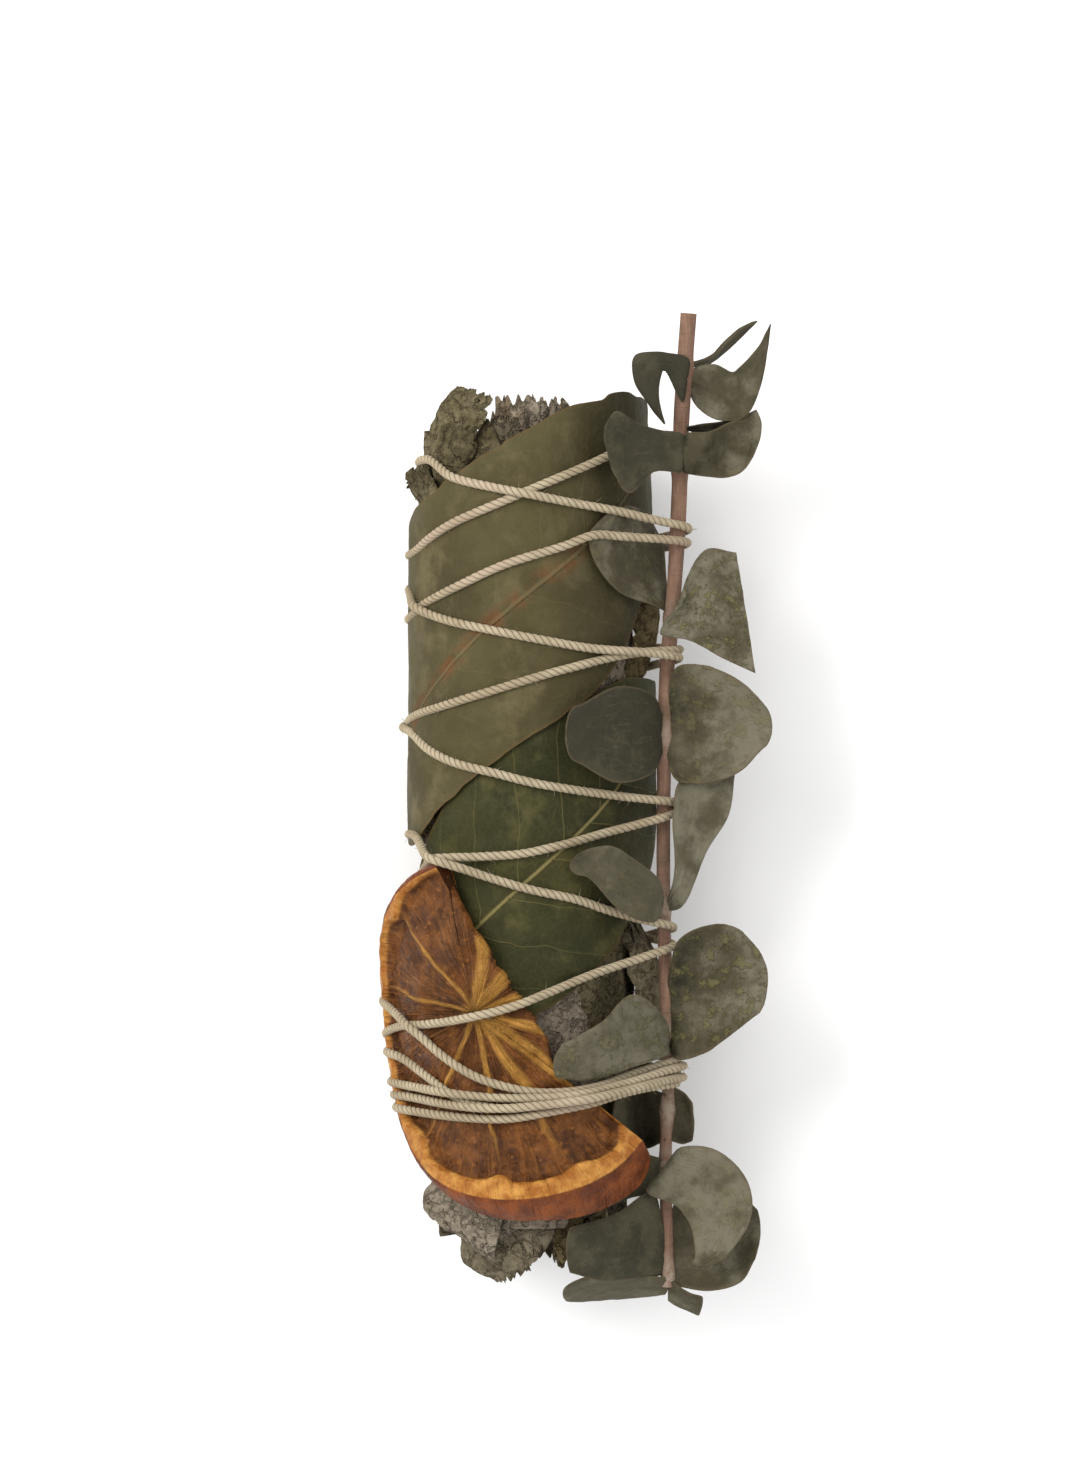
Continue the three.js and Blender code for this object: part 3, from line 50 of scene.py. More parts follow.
SEEN_CENTRE = (2.3, 18.1)
SEEN_HEIGHT = 247.7
CAMERA_HEIGHT = 925.0
FRONT_Z = 27.0
SENSOR = 36.0
SHEET_SIZE = 3000.0
SHEET_GAP = 0.2
WORLD_STRENGTH = 1.2
LAMP_PLACE = (-380, 260, 560)
LAMP_TARGET = (0, 0, 10)
LAMP_SIZE = 380
LAMP_WATTS = 3.0


def area_light(name, place, target, size, watts, tint):
    data = bpy.data.lights.new(name, "AREA")
    data.shape = "DISK"
    data.size = size * MM
    data.energy = watts
    data.color = tint
    light = bpy.data.objects.new(name, data)
    light.location = Vector(place) * MM
    light.rotation_euler = (Vector(target) - Vector(place)).to_track_quat("-Z", "Y").to_euler()
    bpy.context.collection.objects.link(light)


camera_data = bpy.data.cameras.new("camera")
camera_data.sensor_fit = "VERTICAL"
camera_data.sensor_height = SENSOR
camera_data.lens = SENSOR * (CAMERA_HEIGHT - FRONT_Z) / SEEN_HEIGHT
camera_data.clip_start = 0.01
camera = bpy.data.objects.new("camera", camera_data)
camera.location = (SEEN_CENTRE[0] * MM, SEEN_CENTRE[1] * MM, CAMERA_HEIGHT * MM)
bpy.context.collection.objects.link(camera)
scene = bpy.context.scene
scene.camera = camera
scene.view_settings.view_transform = "Standard"

bpy.ops.mesh.primitive_plane_add(size=SHEET_SIZE * MM, location=(0, 0, -SHEET_GAP * MM))
floor = bpy.context.object
floor.name = "floor"

world = bpy.data.worlds.new("studio")
world.use_nodes = True
world.node_tree.nodes["Background"].inputs["Color"].default_value = (1.0, 1.0, 1.0, 1)
world.node_tree.nodes["Background"].inputs["Strength"].default_value = WORLD_STRENGTH
scene.world = world
area_light("key_light", LAMP_PLACE, LAMP_TARGET, LAMP_SIZE, LAMP_WATTS, (1.0, 0.98, 0.95))


def linear(colour):
    """An RGB colour of 0 to 255, as shown on a screen, as linear RGBA."""
    parts = [c / 255 for c in colour]
    return (*[p / 12.92 if p <= 0.04045 else ((p + 0.055) / 1.055) ** 2.4 for p in parts], 1.0)


class Paint:
    """One material. Each method adds a shader node and returns its output. Inputs are outputs or numbers."""

    def __init__(self, name):
        self.material = bpy.data.materials.new(name)
        self.material.use_nodes = True
        self.tree = self.material.node_tree
        self.shader = self.tree.nodes["Principled BSDF"]
        self.place = self.tree.nodes.new("ShaderNodeTexCoord").outputs["Object"]

    def put(self, socket, value):
        if isinstance(value, bpy.types.NodeSocket):
            self.tree.links.new(value, socket)
        else:
            socket.default_value = value

    def math(self, operation, first, second=0.0, clamp=False):
        node = self.tree.nodes.new("ShaderNodeMath")
        node.operation = operation
        node.use_clamp = clamp
        self.put(node.inputs[0], first)
        self.put(node.inputs[1], second)
        return node.outputs[0]

    def step(self, value, low, high, to_low=0.0, to_high=1.0):
        """Smoothly from to_low to to_high as value goes from low to high."""
        node = self.tree.nodes.new("ShaderNodeMapRange")
        node.interpolation_type = "SMOOTHSTEP"
        for socket, number in zip(node.inputs, (value, low, high, to_low, to_high)):
            self.put(socket, number)
        return node.outputs[0]

    def mix(self, factor, first, second):
        node = self.tree.nodes.new("ShaderNodeMix")
        node.data_type = "RGBA"
        self.put(node.inputs["Factor"], factor)
        self.put(node.inputs[6], first)
        self.put(node.inputs[7], second)
        return node.outputs[2]

    def noise(self, size, detail=3.0, rough=0.55, stretch=(1, 1, 1), where=None):
        """Noise from 0 to 1 with lumps of about size mm."""
        scaled = self.tree.nodes.new("ShaderNodeMapping")
        self.put(scaled.inputs["Vector"], where or self.place)
        scaled.inputs["Scale"].default_value = [s / (size * MM) for s in stretch]
        node = self.tree.nodes.new("ShaderNodeTexNoise")
        self.put(node.inputs["Vector"], scaled.outputs[0])
        node.inputs["Scale"].default_value = 1.0
        node.inputs["Detail"].default_value = detail
        node.inputs["Roughness"].default_value = rough
        return node.outputs["Fac"]

    def cells(self, size, feature="F1"):
        """Distance within cells of about size mm: from their middles, or from their edges."""
        node = self.tree.nodes.new("ShaderNodeTexVoronoi")
        node.feature = feature
        self.put(node.inputs["Vector"], self.place)
        node.inputs["Scale"].default_value = 1 / (size * MM)
        return node.outputs["Distance"]

    def wrinkles(self, size, width, where=None):
        """Fine winding lines, about size mm apart."""
        aside = self.math("ABSOLUTE", self.math("SUBTRACT", self.noise(size, 4, 0.6, where=where), 0.5))
        return self.step(aside, 0.0, width, 1, 0)

    def value(self, name):
        """A number stored in the mesh."""
        node = self.tree.nodes.new("ShaderNodeAttribute")
        node.attribute_name = name
        return node.outputs["Fac"]

    def point(self, name):
        """A vector stored in the mesh."""
        node = self.tree.nodes.new("ShaderNodeAttribute")
        node.attribute_name = name
        return node.outputs["Vector"]

    def finish(self, colour, roughness, bumps=(), specular=0.1):
        """bumps are (height from 0 to 1, depth in mm)."""
        self.put(self.shader.inputs["Base Color"], colour)
        self.put(self.shader.inputs["Roughness"], roughness)
        self.put(self.shader.inputs["Specular IOR Level"], specular)
        normal = None
        for height, depth in bumps:
            bump = self.tree.nodes.new("ShaderNodeBump")
            bump.inputs["Distance"].default_value = depth * MM
            self.put(bump.inputs["Height"], height)
            if normal:
                self.put(bump.inputs["Normal"], normal)
            normal = bump.outputs[0]
        if normal:
            self.put(self.shader.inputs["Normal"], normal)
        return self.material


paper = Paint("studio_sheet")
floor.data.materials.append(paper.finish(linear((247, 247, 247)), 0.9))

# The bundle
# The section of the bundle, from which every piece takes its place: sage in the middle, then the two bay
# leaves, the orange slice, and the string drawn tight over them.

BUNDLE_X = -0.8
BUNDLE_Z = 19.8
HALF_WIDTH = 17.2
HALF_DEPTH = 17.6
SAGE_TOP_Y = 66.0
SAGE_BOTTOM_Y = -65.0
SAGE_COVER = 1.3
REST_Z = 1.74


def random_from(seed):
    """Repeatable random numbers from 0 to 1."""
    state = seed
    while True:
        state = state * 16807 % 2147483647
        yield state / 2147483647


def ease(value, low, high):
    share = np.clip((value - low) / (high - low), 0, 1)
    return share * share * (3 - 2 * share)


def around(phi, y, h):
    """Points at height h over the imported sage. phi runs round the bundle from its top, clockwise."""
    phi, y, h = np.broadcast_arrays(np.asarray(phi, float), y, h)
    near_top = ease(y, 52, 78)
    at_band = ease(-y, 12, 52)
    width = HALF_WIDTH * (1 - 0.04 * near_top - 0.09 * at_band)
    depth = HALF_DEPTH * (1 - 0.04 * near_top)
    x = BUNDLE_X + 0.9 * at_band + (width + h) * np.sin(phi)
    z = BUNDLE_Z + (depth + h) * np.cos(phi)
    return np.stack([x, y, np.maximum(z, REST_Z + np.maximum(SAGE_COVER - h, 0))], axis=-1)


def over(x, y, h):
    """The point of the upper side that is seen at x."""
    at_band = float(ease(-y, 12, 52))
    width = HALF_WIDTH * (1 - 0.04 * float(ease(y, 52, 78)) - 0.09 * at_band)
    phi = math.asin(max(-1, min(1, (x - BUNDLE_X - 0.9 * at_band) / (width + h))))
    return around(phi, y, h).tolist()


def lumps(points, size, seed=0):
    """Smooth noise from -1 to 1 at points, with lumps of about size mm."""
    scaled = points / size + seed * 7.31
    cell = np.floor(scaled).astype(np.int64)
    part = scaled - cell
    part = part * part * (3 - 2 * part)
    total = np.zeros(points.shape[:-1])
    for corner in np.ndindex(2, 2, 2):
        place = cell + corner
        code = place[..., 0] * 374761393 + place[..., 1] * 668265263 + place[..., 2] * 1274126177
        code = code & 0xFFFFFFFF
        code = ((code ^ (code >> 13)) * 1103515245) & 0xFFFFFFFF
        weight = np.prod(np.where(corner, part, 1 - part), axis=-1)
        total += weight * (((code ^ (code >> 16)) & 0xFFFF) / 32767.5 - 1)
    return total


def crinkle(points, size, seed=0):
    """Three layers of noise, each half the size and height of the one before."""
    return sum(0.5**k * lumps(points, size * 0.45**k, seed + k) for k in range(3))


def along_curve(points, t):
    """Points at t from 0 to 1 on a smooth curve through points."""
    points = np.asarray(points, float)
    ends = np.vstack([2 * points[0] - points[1], points, 2 * points[-1] - points[-2]])
    place = np.clip(np.asarray(t, float), 0, 1) * (len(points) - 1)
    i = np.minimum(place.astype(int), len(points) - 2)
    w = (place - i)[..., None]
    p0, p1, p2, p3 = (ends[i + k] for k in range(4))
    steps = (p1 - p0, p2 - p1, p3 - p2)
    gaps = [np.sqrt(np.linalg.norm(step, axis=-1))[..., None] for step in steps]
    middle = np.where(gaps[1] < 1e-3, 1, gaps[1])
    d0, d2 = (np.where(g < 1e-3, middle, g) for g in (gaps[0], gaps[2]))
    out = ((p1 - p0) / d0 - (p2 - p0) / (d0 + middle) + (p2 - p1) / middle) * middle
    into = ((p2 - p1) / middle - (p3 - p1) / (middle + d2) + (p3 - p2) / d2) * middle
    a = 2 * (p1 - p2) + out + into
    b = 3 * (p2 - p1) - 2 * out - into
    return p1 + w * (out + w * (b + w * a))


def loft(stations):
    """A surface(t, u) through stations from base to tip, each [left, middle, right] or one point."""
    lines = [[s[0] if len(s) == 1 else s[k] for s in stations] for k in range(3)]

    def surface(t, u):
        left, middle, right = (along_curve(line, t) for line in lines)
        bow = (left + right) / 2 - middle
        return middle + (right - left) * (u / 2)[..., None] + bow * (u * u)[..., None]

    return surface


def ragged(surface, depth, size, seed):
    """The surface with its outline torn inwards in notches of about size, as a share of its length."""

    def torn(t, u):
        side = np.stack([t / size, 4 * np.sign(u) + 0 * t, 0 * t], -1)
        end = np.stack([u / size, 0 * t, 9 + 0 * t], -1)
        narrow = 1 - depth * np.clip(crinkle(side, 1.0, seed) + 0.3, 0, 1)
        short = 1 - depth * np.clip(crinkle(end, 1.0, seed + 5) + 0.2, 0, 1)
        return surface(t * short, u * narrow)

    return torn


def round_end(stations):
    """The stations of a leaf with its one-point tip made round."""
    *_, last, (tip,) = stations
    rim, middle, tip = np.array(last), np.array(last[1]), np.array(tip)
    added = []
    for share in (0.45, 0.75, 0.93):
        narrow = math.sqrt(1 - share**2)
        added.append((middle + (tip - middle) * share + (rim - middle) * narrow).tolist())
    return [*stations[:-1], *added, stations[-1]]


class Pile:
    """Solids gathered into one mesh, with numbers stored at each point."""

    def __init__(self):
        self.points = []
        self.faces = []
        self.stored = {}
        self.count = 0

    def add(self, points, faces, **stored):
        points = np.asarray(points, float).reshape(-1, 3)
        self.faces += [[self.count + i for i in face] for face in faces]
        self.points.append(points)
        for name, value in stored.items():
            shape = (len(points), 3) if np.ndim(value) > 1 else (len(points),)
            self.stored.setdefault(name, []).append(np.broadcast_to(value, shape))
        self.count += len(points)

    def make(self, name, material, sharp=math.radians(50)):
        mesh = bpy.data.meshes.new(name)
        mesh.from_pydata((np.vstack(self.points) * MM).tolist(), [], self.faces)
        for key, parts in self.stored.items():
            values = np.concatenate(parts)
            if values.ndim == 2:
                vectors = mesh.attributes.new(key, "FLOAT_VECTOR", "POINT")
                vectors.data.foreach_set("vector", (values * MM).ravel())
            else:
                mesh.attributes.new(key, "FLOAT", "POINT").data.foreach_set("value", values.ravel())
        mesh.shade_smooth()
        mesh.set_sharp_from_angle(angle=sharp)
        mesh.materials.append(material)
        thing = bpy.data.objects.new(name, mesh)
        bpy.context.collection.objects.link(thing)
        return thing


def grid_faces(rows, cols, start=0, flip=False):
    """The quads of a grid of (rows + 1) * (cols + 1) points."""
    i, j = np.meshgrid(np.arange(rows), np.arange(cols), indexing="ij")
    a = start + i * (cols + 1) + j
    quads = np.stack([a, a + 1, a + cols + 2, a + cols + 1], axis=-1).reshape(-1, 4)
    return (quads[:, ::-1] if flip else quads).tolist()


def leaf(pile, surface, rows, cols, thickness, relief=None, **stored):
    """Adds a thin closed leaf over surface(t, u), raised by relief(t, u, points)."""
    t, u = np.meshgrid(np.linspace(0, 1, rows + 1), np.linspace(-1, 1, cols + 1), indexing="ij")
    middle = surface(t, u)
    inner = np.clip(t, 0.04, 0.96)
    along = surface(inner + 0.02, u) - surface(inner - 0.02, u)
    across = surface(inner, np.clip(u + 0.03, -1, 1)) - surface(inner, np.clip(u - 0.03, -1, 1))
    normal = np.cross(across, along)
    normal /= np.linalg.norm(normal, axis=-1, keepdims=True) + 1e-9
    if relief:
        middle = middle + normal * relief(t, u, middle)[..., None]
    to_sides = np.minimum(1, 0.45 + 3.5 * (1 - np.abs(u)))
    to_ends = np.minimum(1, 0.45 + 8 * np.minimum(t, 1 - t))
    half = normal * (thickness / 2 * (to_sides * to_ends))[..., None]
    size = (rows + 1) * (cols + 1)
    faces = grid_faces(rows, cols) + grid_faces(rows, cols, size, flip=True)
    rim = [*range(cols)]
    rim += [i * (cols + 1) + cols for i in range(rows)]
    rim += [rows * (cols + 1) + j for j in range(cols, 0, -1)]
    rim += [i * (cols + 1) for i in range(rows, 0, -1)]
    faces += [[p, p + size, q + size, q] for p, q in zip(rim, rim[1:] + rim[:1])]
    both = {}
    for key, value in stored.items():
        shown = value(t, u) if callable(value) else np.broadcast_to(value, t.shape)
        flat = shown.reshape(size, -1) if shown.ndim == 3 else shown.ravel()
        both[key] = np.concatenate([flat, flat])
    edge = np.tile(np.maximum(np.abs(u), np.abs(2 * t - 1) ** 4).ravel(), 2)
    back = np.repeat([0.0, 1.0], size)
    pile.add(np.concatenate([middle + half, middle - half]), faces, edge=edge, back=back, **both)


# Sage bundle
# Whole dried sage leaves rolled tightly lengthwise. They are thin, felted and finely puckered, grey green with
# paler undersides, and their curled ends stand out of both ends of the stick.

SAGE_THICK = 0.6


def sage_relief(deep):
    def relief(t, u, points):
        puckered = 0.6 * crinkle(points, 7, 3) + 0.25 * crinkle(points, 2.2, 9)
        return deep * puckered - 0.25 * np.exp(-((u * 9) ** 2))

    return relief


def wrapped_leaf(phi, y, length, width, lean, h, turn):
    """One leaf of the outer wrap, laid along the bundle."""

    def surface(t, u):
        lance = np.sin(math.pi * np.clip(0.06 + 0.94 * t, 0, 1) ** 0.8) ** 0.75
        half = width / 2 * np.maximum(lance * (0.965 + 0.035 * np.sin(150 * t)), 0.02)
        lift = h + 0.4 * u * u + 0.2 * np.sin(9 * t + 3 * u + turn)
        turned = phi + lean * (t - 0.5) + u * half / HALF_WIDTH
        return around(turned, y + (t - 0.5) * length, np.minimum(lift, 0.95))

    return surface


def end_leaf(phi, share, way, reach, width, roll, lean):
    """A rolled leaf that stands out of an end of the bundle: the top where way is 1, the bottom at -1."""
    end_y = SAGE_TOP_Y if way > 0 else SAGE_BOTTOM_Y
    radius = width / roll

    def surface(t, u):
        half = width / 2 * (1 - 0.55 * t**3) * (0.96 + 0.04 * np.sin(31 * t + phi))
        bend = u * half / radius
        out = share * (HALF_WIDTH - 1.5) + lean * t * t - radius * (1 - np.cos(bend))
        side = radius * np.sin(bend) * way
        y = end_y + way * (-7 + (7 + reach) * t) + 0.6 * np.sin(5 * u + phi)
        x = BUNDLE_X + out * math.sin(phi) + side * math.cos(phi)
        return np.stack([x, y, BUNDLE_Z + 0.4 + out * math.cos(phi) - side * math.sin(phi)], axis=-1)

    return surface


# The leaves that show at the ends of the front and along its right side, from root to tip
FRONT_SAGE = [
    [
      [over(-18.9, 62, 0.4), over(-15.5, 58, 0.4), over(-10.5, 60, 0.4)],
      [over(-18.2, 66, 1.5), [-14.4, 65.5, 34], [-9.2, 66.5, 36]],
      [[-17, 70, 31], [-13.4, 70, 34.5], [-8, 69.4, 37.5]],
      [[-14.6, 73.2, 32.5], [-12, 73.6, 35.5], [-7.2, 72.4, 37.5]],
      [[-12.2, 75.2, 34.5], [-10.4, 75.4, 35.5], [-6.2, 73.9, 36.5]],
    ],
    [
      [over(-17.5, 53, 0.4), over(-15.5, 53, 0.4), over(-13.5, 54, 0.4)],
      [over(-20, 57, 2), over(-18, 57.5, 2), over(-15.5, 58, 1.5)],
      [[-21.5, 60.5, 22], [-19.5, 61.2, 26], [-17.2, 62, 29]],
      [[-21.2, 61.6, 22], [-19.4, 63, 26], [-17.8, 63, 29]],
    ],
    [
      [[-7, 60, 34], [-4, 60, 34.5], [-1, 60, 34]],
      [[-6.9, 67, 34.5], [-4.5, 67, 36], [-1.5, 66.5, 35]],
      [[-6.2, 70.4, 35], [-4.4, 70.8, 36], [-2.6, 70.2, 35.5]],
    ],
    [
      [over(-19, -53, 0.2), over(-15, -53, 0.4), over(-10, -53, 0.4)],
      [over(-18.6, -57, 1), over(-14.5, -58, 1.2), over(-7, -58, 1.2)],
      [[-18.4, -62.8, 30], [-13.5, -63.5, 33.5], [-5, -62, 36]],
      [[-15.6, -66, 31], [-12, -67, 33], [-6, -70, 35.5]],
      [[-9.6, -67.4, 32], [-8, -70, 33], [-6.2, -71.6, 34]],
    ],
    [
      [[-12, -60, 28], [-7, -60, 31], [0, -60, 32]],
      [[-12.4, -67.8, 27], [-7.5, -68, 31], [1.5, -67, 32]],
      [[-11.6, -72.6, 26], [-6.5, -72.5, 30], [1, -71.5, 31]],
      [[-7.5, -75, 26], [-4.6, -76, 28], [-0.5, -74, 29]],
    ],
    [
      [[-2, 60, 31], [2, 60, 32], [7, 60, 31]],
      [[-2.6, 67, 31.5], [2, 67, 33], [7.5, 67, 31]],
      [[-1.6, 72.6, 31], [2, 73.4, 32.5], [6, 74.2, 31]],
    ],
    [
      [over(14, 22, -0.6), over(15.4, 22, -0.6), [14.4, 22, 16]],
      [over(16.4, 30.6, 1.2), [20.2, 31.4, 23], [19.4, 30.6, 17]],
      [over(16.8, 38, 1.4), [21.4, 39, 23.4], [19.6, 39, 17.5]],
      [over(15.2, 45, 0.2), [17.4, 46, 22], [16.2, 45, 17]],
    ],
    [
      [over(13, -42, 0.2), over(15, -42, 0.2), [14.2, -42, 16]],
      [over(15.8, -33, 1.4), [20.6, -33, 23.4], [18.8, -33, 16.5]],
      [over(16.2, -23, 1.4), [21.4, -23, 23.6], [19.2, -23, 16.5]],
      [over(14.6, -15, -0.2), [17.4, -14, 22.2], [15.6, -14, 17]],
    ],
    [
      [[-3.5, -58, 33], [0, -58, 34], [4, -58, 34]],
      [[-2.2, -65, 34.5], [1, -66, 36], [4.5, -65, 35]],
      [[-0.8, -69.8, 35], [1.5, -70.4, 36.5], [3.8, -66.5, 35.5]],
    ],
]

# How grey each of those leaves is, from -1 to 1, and how deep its waves are
FRONT_TONES = (-0.45, -0.2, 0.2, 0.9, -0.75, 0.5, -0.9, 0.1, 0.0)
FRONT_DEPTHS = (1.5, 1.1, 1.0, 1.1, 1.0, 0.9, 0.9, 0.7, 0.7)
CRUMB_COUNT, SCRAP_COUNT = 30, 70

CORE_TURNS, CORE_STEPS = 120, 90

sage = Pile()
core_turns = np.linspace(0, math.tau, CORE_TURNS + 1)[:-1]
core_phi, core_t = np.meshgrid(core_turns, np.linspace(0, 1, CORE_STEPS + 1), indexing="ij")
core_y = SAGE_BOTTOM_Y + core_t * (SAGE_TOP_Y - SAGE_BOTTOM_Y)
dome = np.minimum(1, 0.8 + 1.6 * np.minimum(core_t, 1 - core_t))
dent = 0.35 * np.sin(3 * core_phi + core_y / 17) + 0.25 * np.sin(5 * core_phi - core_y / 9)
core = around(core_phi, core_y, -0.5 + dent - (1 - dome) * HALF_WIDTH)
outward = np.stack([np.sin(core_phi), 0 * core_phi, np.cos(core_phi)], -1)
core += 0.35 * crinkle(core, 3, 5)[..., None] * outward
core[..., 2] = np.maximum(core[..., 2], REST_Z + 1)
core_faces = []
bottom_end = [k * (CORE_STEPS + 1) for k in range(CORE_TURNS)]
for a, b in zip(bottom_end, bottom_end[1:] + bottom_end[:1]):
    core_faces += [[a + i, a + i + 1, b + i + 1, b + i] for i in range(CORE_STEPS)]
core_faces += [bottom_end, [a + CORE_STEPS for a in reversed(bottom_end)]]
sage.add(core, core_faces, edge=0.0, back=0.0, tone=-0.6)

random = random_from(11)
for row, row_y in enumerate((-32, 32)):
    for k in range(6):
        phi = math.radians(120) + (k + row / 2) / 6 * math.tau
        y = row_y + 8 * (next(random) - 0.5)
        length, width = 66 + 6 * next(random), 20 + 5 * next(random)
        lean, turn = 0.5 * (next(random) - 0.5), 6 * next(random)
        body = wrapped_leaf(phi, y, length, width, lean, 0.35, turn)
        leaf(sage, body, 90, 26, SAGE_THICK, sage_relief(0.45), tone=math.sin(5 * k + row))
for way in (1, -1):
    for share, count in ((0.86, 7), (0.4, 3)):
        for k in range(count):
            phi = math.radians(75) + (k + 0.4 * next(random)) / count * math.tau
            reach = 2 + 5 * next(random) + (4 * math.sin(phi) if way < 0 else 0)
            width, roll, lean = 10 + 5 * next(random), 2 + 3 * next(random), 1.5 * (next(random) - 0.5)
            body = ragged(end_leaf(phi, share, way, reach, width, roll, lean), 0.16, 0.2, k)
            leaf(sage, body, 24, 26, SAGE_THICK, sage_relief(0.8), tone=math.sin(3 * k + way))
for k, (stations, tone, deep) in enumerate(zip(FRONT_SAGE, FRONT_TONES, FRONT_DEPTHS)):
    leaf(sage, ragged(loft(stations), 0.16, 0.1, k), 60, 48, SAGE_THICK, sage_relief(deep), tone=tone)

# Crumbled leaf ends at the top of the front, and curled scraps packed between the rolled ends
for k in range(CRUMB_COUNT):
    phi, share = math.radians(-24 + 62 * next(random)), 0.5 + 0.45 * next(random)
    reach, width = 4.5 + 3.6 * next(random), 2.5 + 4 * next(random)
    roll, lean = 2 + 2 * next(random), 3 * (next(random) - 0.5)
    body = ragged(end_leaf(phi, share, 1, reach, width, roll, lean), 0.08, 1.6, k)
    leaf(sage, body, 16, 16, SAGE_THICK, sage_relief(1.1), tone=0.6 + next(random))
for k in range(SCRAP_COUNT):
    way = 1 if k % 2 else -1
    phi, share = math.tau * next(random), math.sqrt(next(random)) * 0.86
    reach = 1 + 4 * next(random) + (3 * math.sin(phi) if way < 0 else 0)
    width, roll, lean = 4 + 5 * next(random), 2 + 3 * next(random), 2 * (next(random) - 0.5)
    body = end_leaf(phi, share, way, reach, width, roll, lean)
    leaf(sage, body, 10, 10, SAGE_THICK, sage_relief(0.6), tone=2 * next(random) - 1)

felt = Paint("sage_leaf")
puckers = felt.noise(0.9, 4, 0.65)
wrinkles = felt.wrinkles(3.2, 0.05)
blotches = felt.step(felt.noise(9, 4), 0.35, 0.65)
tone = felt.value("tone")
green = felt.mix(blotches, linear((74, 67, 47)), linear((114, 105, 80)))
grey = felt.mix(felt.noise(3, 5), linear((106, 96, 80)), linear((160, 148, 132)))
colour = felt.mix(felt.step(tone, -0.3, 1.0), green, grey)
colour = felt.mix(felt.step(tone, -0.7, -1.0, 0, 0.7), colour, linear((108, 93, 62)))
tan = felt.mix(felt.noise(2, 4), linear((122, 98, 76)), linear((198, 170, 132)))
colour = felt.mix(felt.step(tone, 1.1, 1.6), colour, tan)
colour = felt.mix(felt.value("back"), colour, felt.mix(0.35, colour, linear((138, 128, 112))))
# Painted shade: the hollows of the puckers and the grooves of the wrinkles are darkened
dark = linear((50, 42, 30))
colour = felt.mix(felt.math("MULTIPLY", felt.step(puckers, 0.3, 0.6, 1, 0), 0.5), colour, dark)
colour = felt.mix(felt.math("MULTIPLY", wrinkles, 0.3), colour, dark)
bumps = [(felt.noise(3, 5, 0.65), 0.9), (puckers, 0.4), (wrinkles, -0.3)]
felt_finish = felt.finish(colour, 0.95, bumps, specular=0.05)
sage_bundle = sage.make("sage_bundle_leaves", felt_finish)
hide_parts("sage_bundle")
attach(sage_bundle, "root")

# Bay leaves
# Two large, smooth, leathery leaves laid diagonally over the front. The upper one is olive brown and the
# lower one dark green, each with a pale midrib, side veins and a fine net of veins.

BAY_THICK = 0.5
UPPER_BAY = {
    "h": 3.0,
    "root": (-50, 10),
    "tip": (36, 73),
    "upper_widths": [7, 21, 22.8, 23.3, 21.6, 19.3, 17.9, 16.2, 11.4, 1],
    "lower_widths": [9, 23.4, 24.2, 24.2, 24.6, 25.2, 22.5, 18, 12, 1],
    "ripple": 0.12,
    "stand_off": 1.2,
    "rib": [-0.42, -0.36, -0.3, -0.27, -0.22, -0.19, -0.19, -0.18, -0.1, 0],
}
LOWER_BAY = {
    "h": 1.95,
    "root": (-33, -37),
    "tip": (37, 25.5),
    "upper_widths": [1, 10, 16, 19, 20, 19.5, 17, 12, 1],
    "lower_widths": [1, 10, 15.7, 18.6, 19.6, 19.1, 16.7, 11.8, 1],
    "ripple": 0.08,
    "stand_off": 3.4,
    "rib": [0, 0, 0, 0, 0, 0, 0, 0, 0],
}


def along_values(values, t):
    """The values at t from 0 to 1, joined smoothly."""
    return along_curve([[10 * i, v, 0] for i, v in enumerate(values)], t)[..., 1]


bay_piles = []


def bay_leaf(name, plan, material, nibbled):
    (root_s, root_y), (tip_s, tip_y) = plan["root"], plan["tip"]
    ds, dy = tip_s - root_s, tip_y - root_y
    length = math.hypot(ds, dy)
    lay_radius = HALF_WIDTH + plan["h"]

    def half_width(t, u):
        upper, lower = along_values(plan["upper_widths"], t), along_values(plan["lower_widths"], t)
        bites = np.clip(lumps(np.stack([t * length, u * 3, 0 * t], -1), 5, 4) - 0.25, 0, 1)
        uneven = 0.25 * lumps(np.stack([t * length, u * 9, 0 * t], -1), 2.5, 6)
        return np.where(u > 0, upper, lower) - nibbled * bites * (u > 0) - uneven

    def surface(t, u):
        half = half_width(t, u)
        s = root_s + t * ds - u * half * dy / length
        y = root_y + t * dy + u * half * ds / length
        wave = plan["ripple"] * np.sin(7 * t + 4 * u) * u * u
        return around(s / lay_radius, y, plan["h"] + wave + plan["stand_off"] * ease(s, 20, 36))

    def leaf_mm(t, u):
        rib = along_values(plan["rib"], t)
        return np.stack([t * length, (u - rib) * along_values(plan["upper_widths"], t), 0 * t], -1)

    def relief(t, u, points):
        rib = np.exp(-((leaf_mm(t, u)[..., 1] / 0.6) ** 2))
        return 0.16 * crinkle(points, 16, 2) + 0.05 * crinkle(points, 3, 5) + 0.22 * rib

    pile = Pile()
    leaf(pile, surface, 210, 84, BAY_THICK, relief, leaf_mm=leaf_mm)
    bay_piles.append(pile)
    thing = pile.make(name + "_blade", material)
    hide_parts(name)
    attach(thing, "root")


